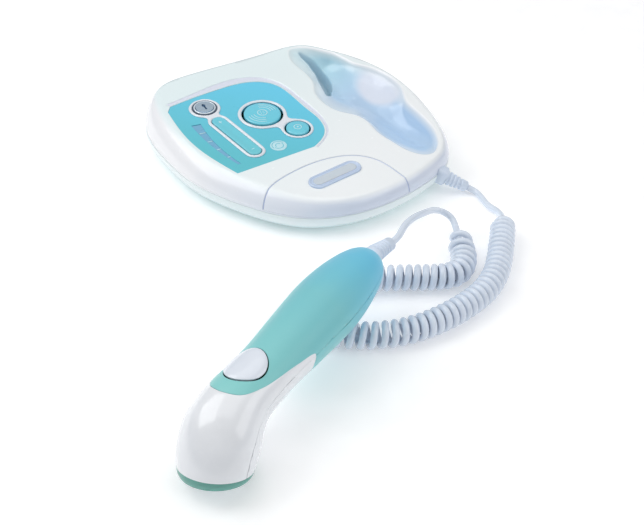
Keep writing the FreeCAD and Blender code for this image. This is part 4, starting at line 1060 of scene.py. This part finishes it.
def pill_loop(place, half, radius, turn, spacing=0.8):
    """Anticlockwise long round-ended loop."""
    count = int(math.pi * radius / spacing)
    ends = []
    for side in (1, -1):
        for angle in np.linspace(-math.pi / 2, math.pi / 2, count):
            ends.append((side * (half + radius * math.cos(angle)), side * radius * math.sin(angle)))
    dense = []
    for a, b in zip(ends, ends[1:] + ends[:1]):
        steps = max(1, int(math.dist(a, b) / (spacing * 1.5)))
        dense += [(a[0] + (b[0] - a[0]) * i / steps, a[1] + (b[1] - a[1]) * i / steps) for i in range(steps)]
    c, s = math.cos(turn), math.sin(turn)
    return np.array([(place[0] + c * x - s * y, place[1] + s * x + c * y) for x, y in dense])


def mark(name, line, width, height_at, body, closed=False, slot="emblem_pale"):
    """Thin raised line over a surface of the panel whose height is given."""
    line = np.array(line, float)
    normals = normals_right(line, closed)
    rows = []
    for side, lift in ((-1, -0.15), (-1, 0.02), (-0.7, 0.1), (0, 0.13), (0.7, 0.1), (1, 0.02), (1, -0.15)):
        flat = line + normals * side * width / 2
        rows.append(np.column_stack([flat, height_at(flat) + lift]))
    points = np.stack(rows, axis=1).reshape(-1, 3)
    count = len(rows)
    faces = []
    for i in range(len(line) if closed else len(line) - 1):
        here, there = i * count, ((i + 1) % len(line)) * count
        faces += [(here + j, there + j, there + j + 1, here + j + 1) for j in range(count - 1)]
    if not closed:
        faces += [tuple(range(count)), tuple(range((len(line) - 1) * count, len(line) * count))[::-1]]
    piece = mesh_piece(name, place_in(PANEL_FRAME, points), faces)
    with opened(piece) as work:
        bmesh.ops.recalc_face_normals(work, faces=work.faces)
    finish_piece(piece, slot, body)


def arc(place, radius, start, end, count=26):
    """Points round part of a circle, from a start to an end in degrees."""
    angle = np.radians(np.linspace(start, end, count))
    return np.stack([place[0] + radius * np.cos(angle), place[1] + radius * np.sin(angle)], axis=1)


def dome(place, radius, top, drop):
    """Height function of a domed cap."""
    def height(points):
        reach = np.hypot(points[:, 0] - place[0], points[:, 1] - place[1]) / radius
        return top - drop * reach**2
    return height


def round_distance(points, place, radius):
    """Distance of flat points from a circle, negative inside it."""
    return np.linalg.norm(points - np.array(place), axis=1) - radius


def build_rims():
    """White rims round the two buttons, and round the key switch and the long pad."""
    buttons = star_outline((-3.9, 12.9), lambda points: soft_union(
        round_distance(points, SCAN_PLACE, 17.4), round_distance(points, SINGLE_PLACE, 11.2), 9.0))
    keys = star_outline((-43.9, 45.0), lambda points: soft_union(
        round_distance(points, LOCK_PLACE, 11.3), pill_distance(points, ROCKER_HALF, 7.5), 6.0))
    button_wells = [oval(SCAN_PLACE, (14.9, 14.9), 96), oval(SINGLE_PLACE, (9.3, 9.3), 64)]
    key_wells = [oval(LOCK_PLACE, (8.95, 8.95), 64), pill_loop(ROCKER_PLACE, ROCKER_HALF, 5.2, ROCKER_TURN)]
    for name, outer, wells, node in (("button_rim", buttons, button_wells, "button_bezel"),
                                     ("key_rim", keys, key_wells, "key_bezel")):
        rim = rim_ring(name, outer, wells, PANEL_FACE, RIM_TOP, PANEL_FRAME)
        finish_piece(rim, "bezel_white", "base", node)


def build_buttons():
    """Domed caps of the two buttons, and the long pad."""
    for name, place, radius, node in (("scan_cap", SCAN_PLACE, 13.2, "scan_button"),
                                      ("single_cap", SINGLE_PLACE, 8.1, "single_button")):
        flat = radius - 1.0
        profile = [(radius, -5.2), (radius, 0.1), (radius - 0.12, 0.45), (radius - 0.45, 0.72), (flat, 0.9)]
        profile += [(radius * k, DOME_TOP - DOME_DROP * (radius * k / flat) ** 2)
                    for k in np.linspace(0.9, 0.04, 9) if radius * k < radius - 1.2]
        finish_piece(lathe(name, profile, on_panel(place, 0)), "cap_blue", name, node)
    loop = pill_loop(ROCKER_PLACE, ROCKER_HALF, 4.75, ROCKER_TURN)
    heights = [(0, -2.6), (0, 0.3), (0.12, 0.6), (0.4, 0.82), (0.9, 0.9)]
    finish_piece(pad("rocker_pad", loop, heights, PANEL_FRAME, -0.35), "cap_blue", "rocker", "level_rocker")


def level_at(height):
    """Height function of a flat surface."""
    return lambda points: np.full(len(points), height)


def build_marks():
    """Printed marks on the buttons and the pad, and the round emblem."""
    large = dome(SCAN_PLACE, 12.2, DOME_TOP, DOME_DROP)
    number = 0
    for middle in (38, 218):
        for radius in (6.4, 8.4, 10.4):
            number += 1
            line = arc(SCAN_PLACE, radius, middle - 52 + radius, middle + 52 - radius)
            mark(f"scan_wave_{number}", line, 0.55, large, "scan_cap")
    mark("scan_mark_ring", arc(SCAN_PLACE, 3.4, 0, 360, 49)[:-1], 0.7, large, "scan_cap", True)
    for number, turn in enumerate((38, 128, 218, 308), start=1):
        aim = np.array([math.cos(math.radians(turn)), math.sin(math.radians(turn))])
        line = np.array([np.array(SCAN_PLACE) + aim * r for r in (0.9, 1.4, 1.9)])
        mark(f"scan_mark_ray_{number}", line, 0.7, large, "scan_cap")
    small = dome(SINGLE_PLACE, 7.1, DOME_TOP, DOME_DROP)
    mark("single_mark_ring", arc(SINGLE_PLACE, 2.6, 0, 360, 37)[:-1], 0.6, small, "single_cap", True)
    mark("single_mark_dot", arc(SINGLE_PLACE, 0.4, 0, 360, 13)[:-1], 0.7, small, "single_cap", True)

    aim = np.array([math.cos(ROCKER_TURN), math.sin(ROCKER_TURN)])
    side = np.array([-aim[1], aim[0]])
    plus = np.array(ROCKER_PLACE) + aim * 19.2
    minus = np.array(ROCKER_PLACE) - aim * 19.2
    for name, centre, run in (("plus_bar", plus, side), ("plus_post", plus, aim), ("minus_bar", minus, side)):
        line = np.array([centre + run * k for k in (-1.7, -0.8, 0, 0.8, 1.7)])
        mark(name, line, 0.65, level_at(0.56), "rocker")

    profile = [(5.8, -0.1), (5.8, 0.16), (5.65, 0.26), (5.3, 0.3), (0.1, 0.3)]
    disc = lathe("emblem_disc", profile, on_panel(EMBLEM_PLACE, PANEL_FACE))
    finish_piece(disc, "emblem_pale", "base", "panel_emblem")
    for number, (radius, start, end) in enumerate(((2.0, 20, 200), (3.4, 200, 380), (4.5, 20, 200)), start=1):
        line = arc(EMBLEM_PLACE, radius, start, end)
        mark(f"emblem_curl_{number}", line, 0.5, level_at(PANEL_FACE + 0.3), "base", slot="panel_blue")


def build_lock_and_level():
    """Bright ring round the key barrel, and the pale dividers of the level bar."""
    profile = [(8.0, -1.2), (7.95, 0.15), (7.8, 0.45), (7.3, 0.6), (7.0, 0.5), (6.8, 0.2), (6.75, -1.2)]
    bright = lathe("lock_ring", profile, on_panel(LOCK_PLACE, PANEL_FACE + 0.9), open_middle=True)
    finish_piece(bright, "lock_chrome", "base")
    edges = [smooth_line(edge, 0.5) for edge in (LEVEL_INNER_EDGE, LEVEL_OUTER_EDGE)]
    for number in range(1, LEVEL_COUNT):
        start, end = (edge[round(number / LEVEL_COUNT * (len(edge) - 1))] for edge in edges)
        line = np.linspace(start + (end - start) * 0.08, end - (end - start) * 0.08, 5)
        mark(f"level_divider_{number}", line, 0.7, level_at(PANEL_FACE - 0.26), "base")


def build_badge():
    """Blank badge of the lid: a rounded rim and a clear bar in it."""
    loop = pill_loop(BADGE_PLACE, 14.0, 6.5, BADGE_TURN)
    heights = [(0, -0.4), (0, 0.5), (0.15, 0.85), (0.5, 1.1), (1.0, 1.2), (1.35, 1.1), (1.6, 0.75)]
    finish_piece(pad("badge_rim", loop, heights, PANEL_FRAME), "badge_blue", "lid", "lid_badge")
    loop = pill_loop(BADGE_PLACE, 13.6, 3.6, BADGE_TURN)
    heights = [(0, 0.6), (0, 0.85), (0.15, 1.05), (0.5, 1.18)]
    finish_piece(pad("badge_bar", loop, heights, PANEL_FRAME, 0.1), "window_clear", "lid")


def aimed_frame(place, aim):
    """Local frame at a place, with its height running along the aim."""
    ahead = Vector(aim).normalized()
    return Matrix.Translation(place) @ ahead.to_track_quat("Z", "X").to_matrix().to_4x4()


def gland_profile(length, root, tip, collar):
    """Sleeve with rounded ribs that tapers to a smooth collar."""
    profile = [(0.5, 0.0), (root, 0.0)]
    ribs = 4
    ribbed = length - collar
    for i in range(1, ribs * 12 + 1):
        part = i / (ribs * 12)
        radius = root + (tip - root) * part * 0.72
        wave = step_up(math.cos(2 * math.pi * part * ribs), -0.35, 0.15)
        profile.append((radius - 1.0 * (1 - float(wave)), ribbed * part))
    return profile + [(tip + 0.35, ribbed + 0.1), (tip + 0.15, length - 0.5),
                      (tip - 0.2, length - 0.12), (tip - 0.7, length)]


def build_glands():
    """Ribbed sleeves where the cord leaves the base and the handset."""
    place, aim = Vector((67.6, -70.6, 14.6)), Vector((0.70, -0.58, -0.42)).normalized()
    profile = [(0.5, -1), (5.7, -1), (5.7, 5.9), (5.55, 6.5), (5.1, 6.9), (4.0, 7.0)]
    block = lathe("base_gland_block", profile, aimed_frame(place, aim), 64, 6.0, 0.86)
    finish_piece(block, "gland_white", "base")
    start = aimed_frame(place + aim * 6.9, aim)
    sleeve = lathe("base_gland_sleeve", gland_profile(16.2, 5.2, 3.7, 4.2), start)
    finish_piece(sleeve, "gland_white", "base", "base_cord_gland")
    profile = [(0.5, -0.5), (6.1, -0.5), (6.0, 3.6), (5.7, 5.2), (5.1, 6.1), (4.0, 6.4)]
    start = aimed_frame(HANDSET_FRAME @ Vector((2, 0, 0)), HANDSET_FRAME.to_3x3() @ Vector((-1, 0, 0)))
    finish_piece(lathe("handset_gland_collar", profile, start), "gland_white", "handset")
    start = aimed_frame(HANDSET_FRAME @ Vector((-3.5, 0, 0)), (0.93, 0.33, -0.14))
    sleeve = lathe("handset_gland_sleeve", gland_profile(16.2, 5.6, 4.0, 4.6), start)
    finish_piece(sleeve, "gland_white", "handset", "handset_cord_gland")


def build_power_jack():
    """Rim and shallow recess of the power socket in the base's back."""
    socket = next(mount for mount in frame["record"]["mounts"] if mount["name"] == "power_socket")
    x, _, z = (value / MM for value in socket["pos_m"])
    rear = outline[outline[:, 1] > 60]
    wall = rear[np.argmin(np.abs(rear[:, 0] - x)), 1] - 0.2
    profile = [(4.9, -5), (4.9, 0.7), (4.75, 0.95), (4.4, 1.1),
               (3.2, 1.1), (2.95, 0.95), (2.85, 0.15), (0.1, 0.15)]
    jack = lathe("power_jack", profile, aimed_frame((x, wall, z), (0, 1, 0)))
    finish_piece(jack, "switch_black", "base")


def build_trigger():
    """Domed oval trigger, drawn on the handset's skin and lifted from it."""
    loop = trigger_loop(-0.35, 72)
    flat, faces = sheet_faces(loop, [], hex_grid(loop.min(axis=0), loop.max(axis=0), 1.0), 0.5)
    reach = np.hypot((flat[:, 0] - TRIGGER_PLACE) / TRIGGER_HALF[0], flat[:, 1] / TRIGGER_HALF[1])
    lift = 0.25 + 1.25 * np.sqrt(np.clip(1 - reach**3, 0, 1))
    along, turn = on_top(flat[:, 0], flat[:, 1]).T
    piece = mesh_piece("trigger_cap", handset_points(along, turn / PATTERN_WIDTH, lift), faces)
    finish_piece(add_lip(piece, 0.35, 3.2), "trigger_white", "trigger", "trigger_button")


def build_lower_shell():
    """Round-sided pan of the base below the seam."""
    rows = []
    for turn in np.radians([0, 8, 16, 25, 34, 43, 52, 61, 70, 80]):
        inset = PAN_INSET * ((1 - math.cos(turn)) / (1 - math.cos(PAN_TURN)))
        drop = math.sin(turn) / math.sin(PAN_TURN)
        low = PAN_TOP - drop * (PAN_TOP - PAN_FLOOR)
        rows.append(np.column_stack([outline - outline_normals * inset, np.full(len(outline), low)]))
    faces = [(a, d, c, b) for a, b, c, d in band_faces(len(rows), len(outline))]
    edge = rows[-1][:, :2]
    flat, cap = sheet_faces(edge, [], hex_grid(edge.min(axis=0), edge.max(axis=0), 5.0), 2.5)
    points = np.vstack(rows)
    faces += [tuple(int(i) + len(points) for i in face[::-1]) for face in cap]
    points = np.vstack([points, np.column_stack([flat, np.full(len(flat), PAN_FLOOR)])])
    # The side number runs from 0 at the seam to 1 underneath, and steers the pan's painted shade.
    side = np.repeat(np.linspace(0, 1, len(rows)), len(outline))
    piece = mesh_piece("base_pan", points, faces, {"side": np.concatenate([side, np.ones(len(flat))])})
    with opened(piece) as work:
        bmesh.ops.remove_doubles(work, verts=work.verts, dist=1e-6)
    finish_piece(add_lip(piece, 0.3, 2.0), "shell_white", "base", "base_lower_shell")


build_rims()
build_buttons()
build_marks()
build_lock_and_level()
build_badge()
build_glands()
build_power_jack()
build_trigger()
build_lower_shell()

# ---- materials ----

class Surface:
    """Builds one procedural material; each method adds nodes and returns an output socket."""

    def __init__(self, name):
        self.material = bpy.data.materials.new(name)
        self.material.use_nodes = True
        self.tree = self.material.node_tree
        self.shader = self.tree.nodes["Principled BSDF"]
        coordinates = self.tree.nodes.new("ShaderNodeTexCoord")
        self.place = coordinates.outputs["Object"]

    def link(self, start, end):
        self.tree.links.new(start, end)

    def noise(self, scale, detail=3.0, distortion=0.0):
        node = self.tree.nodes.new("ShaderNodeTexNoise")
        node.inputs["Scale"].default_value = scale
        node.inputs["Detail"].default_value = detail
        node.inputs["Distortion"].default_value = distortion
        self.link(self.place, node.inputs["Vector"])
        return node.outputs["Fac"]

    def spread(self, value, low, high, start=0.0, end=1.0):
        """The value's range from start to end stretched to low and high."""
        node = self.tree.nodes.new("ShaderNodeMapRange")
        node.inputs["From Min"].default_value = start
        node.inputs["From Max"].default_value = end
        node.inputs["To Min"].default_value = low
        node.inputs["To Max"].default_value = high
        self.link(value, node.inputs["Value"])
        return node.outputs["Result"]

    def mix(self, amount, first, second):
        node = self.tree.nodes.new("ShaderNodeMix")
        node.data_type = "RGBA"
        self.link(amount, node.inputs["Factor"])
        for socket, value in ((node.inputs[6], first), (node.inputs[7], second)):
            if isinstance(value, tuple):
                socket.default_value = (*value, 1)
            else:
                self.link(value, socket)
        return node.outputs[2]

    def drift(self, scale, first, second, amount=1, low=0.3, high=0.7):
        """First colour with patches that go up to an amount towards the second."""
        return self.mix(self.spread(self.noise(scale), 0, amount, low, high), first, second)

    def across(self, direction, low, high, first, second):
        """First colour at the low distance along a direction, second at the high one."""
        return self.mix(self.spread(self.along(direction), 0, 1, low, high), first, second)

    def painted(self, name):
        node = self.tree.nodes.new("ShaderNodeAttribute")
        node.attribute_name = name
        return node.outputs["Fac"]

    def along(self, direction):
        """Distance along a direction, in metres."""
        node = self.tree.nodes.new("ShaderNodeVectorMath")
        node.operation = "DOT_PRODUCT"
        node.inputs[1].default_value = direction
        self.link(self.place, node.inputs[0])
        return node.outputs["Value"]

    def finish(self, colour, roughness, grain=(2600, 0.02), waves=(90, 0.02), gloss_drift=0.06):
        """Sets the colour, a roughness that drifts, and fine grain over slow waves."""
        if isinstance(colour, tuple):
            dark = tuple(part * 0.94 for part in colour)
            colour = self.drift(55, colour, dark)
        self.link(colour, self.shader.inputs["Base Color"])
        rough = self.spread(self.noise(180, 4), roughness - gloss_drift, roughness + gloss_drift, 0.25, 0.75)
        self.link(rough, self.shader.inputs["Roughness"])
        last = None
        for scale, strength in (waves, grain):
            node = self.tree.nodes.new("ShaderNodeBump")
            node.inputs["Strength"].default_value = strength
            node.inputs["Distance"].default_value = 0.6 / scale
            self.link(self.noise(scale), node.inputs["Height"])
            if last is not None:
                self.link(last, node.inputs["Normal"])
            last = node.outputs["Normal"]
        self.link(last, self.shader.inputs["Normal"])
        return self.material

    def set(self, **values):
        for key, value in values.items():
            self.shader.inputs[key.replace("_", " ")].default_value = value


def plain(name, colour, roughness, **more):
    surface = Surface(name)
    grain = more.pop("grain", (2600, 0.02))
    surface.set(**more)
    return surface.finish(colour, roughness, grain)


def shell_material():
    surface = Surface("moulded_shell")
    # Painted shading across the top: cyan-grey towards the back left, white towards the front right.
    front = surface.across((0.45, -0.89, 0), -0.06, 0.05, (0.82, 0.935, 0.95), (0.95, 0.975, 0.985))
    crown = surface.drift(14, front, (0.88, 0.95, 0.97), 0.15)
    # Painted shade down the shoulder: lavender-blue towards the front and right, near white towards the left
    # and back.
    shade = surface.drift(10, (0.66, 0.75, 0.89), (0.74, 0.79, 0.90), 1, 0.35, 0.65)
    side = surface.across((0.62, -0.78, 0), -0.06, 0.075, (0.93, 0.93, 0.95), shade)
    colour = surface.mix(surface.spread(surface.painted("side"), 0, 0.95, 0.02, 0.42), crown, side)
    # Painted shade in the sunk band beside the panel, lavender like the shoulder's.
    colour = surface.mix(surface.painted("band"), colour, (0.76, 0.79, 0.90))
    # Painted shade that deepens into the hand rest: blue at its front, cyan-blue in its back pocket.
    deep = surface.across((0, 1, 0), 0.03, 0.075, (0.44, 0.64, 0.88), (0.42, 0.70, 0.82))
    # The hand rest's middle lobe gets a paler, lighter painted shade.
    lit_lobe = surface.mix(surface.painted("lit_lobe"), deep, (0.74, 0.80, 0.93))
    colour = surface.mix(surface.spread(surface.painted("hollow_shade"), 0, 0.9, 0.0, 0.5), colour, lit_lobe)
    # Painted highlight along the hand rest's rim.
    colour = surface.mix(surface.painted("rim"), colour, (0.97, 0.98, 1.0))
    # Painted shade in the hand rest's deep slot, where its floor lies in the dark.
    colour = surface.mix(surface.painted("slot_shade"), colour, (0.50, 0.68, 0.78))
    surface.set(Coat_Weight=0.5, Coat_Roughness=0.13)
    return surface.finish(colour, 0.26, grain=(500, 0.0008), waves=(60, 0.003), gloss_drift=0.015)


def pan_material():
    surface = Surface("moulded_pan")
    shell = surface.drift(12, (0.80, 0.90, 0.915), (0.87, 0.93, 0.935))
    # Painted shade: the pan darkens to teal towards its underside, where it turns under.
    colour = surface.mix(surface.spread(surface.painted("side"), 0, 1, 0.35, 1.0), shell, (0.42, 0.70, 0.72))
    surface.set(Coat_Weight=0.3, Coat_Roughness=0.1)
    return surface.finish(colour, 0.32)


def panel_material(name, first, second, roughness, coat):
    surface = Surface(name)
    colour = surface.across((0.75, 0.66, 0), -0.045, 0.045, first, second)
    middle = tuple(0.5 * (a + b) for a, b in zip(first, second))
    mottled = surface.drift(70, colour, middle, 1, 0.35, 0.65)
    colour = surface.drift(30, colour, mottled, 0.22)
    surface.set(Coat_Weight=coat, Coat_Roughness=0.12)
    return surface.finish(colour, roughness, grain=(2600, 0.01), waves=(60, 0.004), gloss_drift=0.03)


def grip_material():
    surface = Surface("soft_grip")
    along = surface.painted("along")
    teal = surface.mix(surface.spread(along, 0, 1, 0.28, 0.8), (0.18, 0.565, 0.63), (0.26, 0.67, 0.645))
    blue = surface.mix(surface.spread(along, 1, 0, 0.02, 0.34), teal, (0.11, 0.56, 0.86))
    colour = surface.drift(28, blue, (0.25, 0.62, 0.62), 0.25)
    surface.set(Sheen_Weight=0.5, Sheen_Roughness=0.45, Sheen_Tint=(0.75, 1.0, 0.97, 1))
    return surface.finish(colour, 0.42, grain=(3200, 0.08))


def clear_material(name, colour, weight, roughness):
    surface = Surface(name)
    surface.set(Transmission_Weight=weight, IOR=1.46)
    return surface.finish(colour, roughness, gloss_drift=0.03)


MATERIALS = {
    "shell_white": shell_material(),
    "pan": pan_material(),
    "panel_blue": panel_material("panel_film", (0.115, 0.56, 0.64), (0.14, 0.65, 0.90), 0.3, 0.4),
    "cap_blue": panel_material("button_blue", (0.16, 0.62, 0.69), (0.16, 0.67, 0.88), 0.25, 0.6),
    "bezel_white": plain("rim_white", (0.84, 0.88, 0.94), 0.22, Coat_Weight=0.5, Coat_Roughness=0.06),
    "lock_dark": plain("lock_housing", (0.035, 0.07, 0.12), 0.25, Coat_Weight=0.6, Coat_Roughness=0.08),
    "lock_chrome": plain("lock_chrome", (0.66, 0.82, 0.97), 0.22, Metallic=0.85),
    "segment_blue": plain("level_segment", (0.19, 0.46, 0.68), 0.3, Coat_Weight=0.4, Coat_Roughness=0.1),
    "emblem_pale": plain("print_pale", (0.55, 0.83, 0.90), 0.35),
    "badge_blue": plain("badge_blue", (0.58, 0.70, 0.90), 0.2, Coat_Weight=0.7, Coat_Roughness=0.06),
    "board_green": plain("board_green", (0.03, 0.20, 0.09), 0.4, grain=(1500, 0.1)),
    "switch_black": plain("switch_black", (0.02, 0.022, 0.025), 0.4),
    "screw_steel": plain("screw_steel", (0.55, 0.56, 0.58), 0.28, Metallic=1.0),
    "power_steel": plain("power_steel", (0.50, 0.51, 0.53), 0.38, Metallic=1.0),
    "can_aluminium": plain("can_aluminium", (0.62, 0.64, 0.68), 0.3, Metallic=1.0),
    "foot_rubber": plain("foot_rubber", (0.30, 0.36, 0.38), 0.7, grain=(1800, 0.2)),
    "tray_plastic": plain("tray_plastic", (0.62, 0.70, 0.74), 0.4),
    "cord_white": plain("cord_vinyl", (0.77, 0.845, 0.955), 0.24, Coat_Weight=0.6, Coat_Roughness=0.08),
    "gland_white": plain("gland_vinyl", (0.74, 0.83, 0.96), 0.36),
    "grip_teal": grip_material(),
    "seam": plain("seam_shade", (0.52, 0.60, 0.82), 0.5),
    "ring": plain("bright_ring", (0.80, 0.90, 0.98), 0.12, Metallic=0.25, Coat_Weight=1.0,
                  Coat_Roughness=0.04),
    "head": plain("head_white", (0.90, 0.92, 0.95), 0.2, Coat_Weight=0.6, Coat_Roughness=0.05),
    "trigger_white": plain("trigger_white", (0.82, 0.87, 0.95), 0.2, Coat_Weight=0.6, Coat_Roughness=0.05),
    "frame_green": clear_material("frame_green", (0.20, 0.55, 0.47), 0.35, 0.15),
    "window_clear": clear_material("badge_clear", (0.86, 0.94, 1.0), 0.3, 0.12),
    "lens_clear": clear_material("lens_clear", (0.80, 0.90, 0.95), 0.9, 0.05),
    "mirror_face": plain("mirror_face", (0.85, 0.87, 0.9), 0.06, Metallic=1.0),
    "motor_steel": plain("motor_steel", (0.45, 0.46, 0.48), 0.35, Metallic=1.0),
}

# Pieces whose finish isn't the plain one of their slot.
OWN_FINISH = {
    "lock_ring": "ring", "base_pan": "pan", "lid_ledge": "seam", "upper_shell": "head", "lower_shell": "head",
}


def dress_everything():
    """Gives each CAD node the material of the slot that it was imported with, and each piece its own."""
    for node in frame["nodes"].values():
        for place in node.material_slots:
            place.material = MATERIALS[place.material.name.split(".")[0]]
    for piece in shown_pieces():
        if not piece.data.materials:
            piece.data.materials.append(MATERIALS[OWN_FINISH.get(piece.name, piece["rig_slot"])])


dress_everything()

# ---- studio ----

def build_studio():
    world = bpy.data.worlds.new("studio")
    world.use_nodes = True
    tree = world.node_tree
    background = tree.nodes["Background"]
    background.inputs["Strength"].default_value = 0.45
    place = tree.nodes.new("ShaderNodeTexCoord")
    split = tree.nodes.new("ShaderNodeSeparateXYZ")
    ramp = tree.nodes.new("ShaderNodeValToRGB")
    ramp.color_ramp.elements[0].position = 0.0
    ramp.color_ramp.elements[0].color = (0.50, 0.58, 0.72, 1)
    ramp.color_ramp.elements[1].position = 0.55
    ramp.color_ramp.elements[1].color = (1, 1, 1, 1)
    tree.links.new(place.outputs["Generated"], split.inputs["Vector"])
    tree.links.new(split.outputs["Z"], ramp.inputs["Fac"])
    tree.links.new(ramp.outputs["Color"], background.inputs["Color"])
    bpy.context.scene.world = world
    bpy.context.scene.view_settings.view_transform = "Standard"

    mesh = bpy.data.meshes.new("floor")
    mesh.from_pydata([(-6, -6, 0), (6, -6, 0), (6, 6, 0), (-6, 6, 0)], [], [(0, 1, 2, 3)])
    floor = bpy.data.objects.new("floor", mesh)
    bpy.context.scene.collection.objects.link(floor)
    surface = Surface("studio_floor")
    surface.set(Emission_Color=(1, 1, 1, 1), Emission_Strength=0.22)
    floor.data.materials.append(surface.finish((0.97, 0.97, 0.975), 0.6, gloss_drift=0.02))


build_studio()
aim_light("key", (-0.7, 0.45, 0.95), (-0.02, -0.05, 0), (0.9, 0.9), 6.2)
aim_light("fill", (0.6, -0.9, 0.7), (-0.02, -0.08, 0), (1.0, 0.6), 2.6)
aim_light("top", (0.1, 0.1, 1.3), (0, 0, 0), (1.2, 1.2), 3.9)
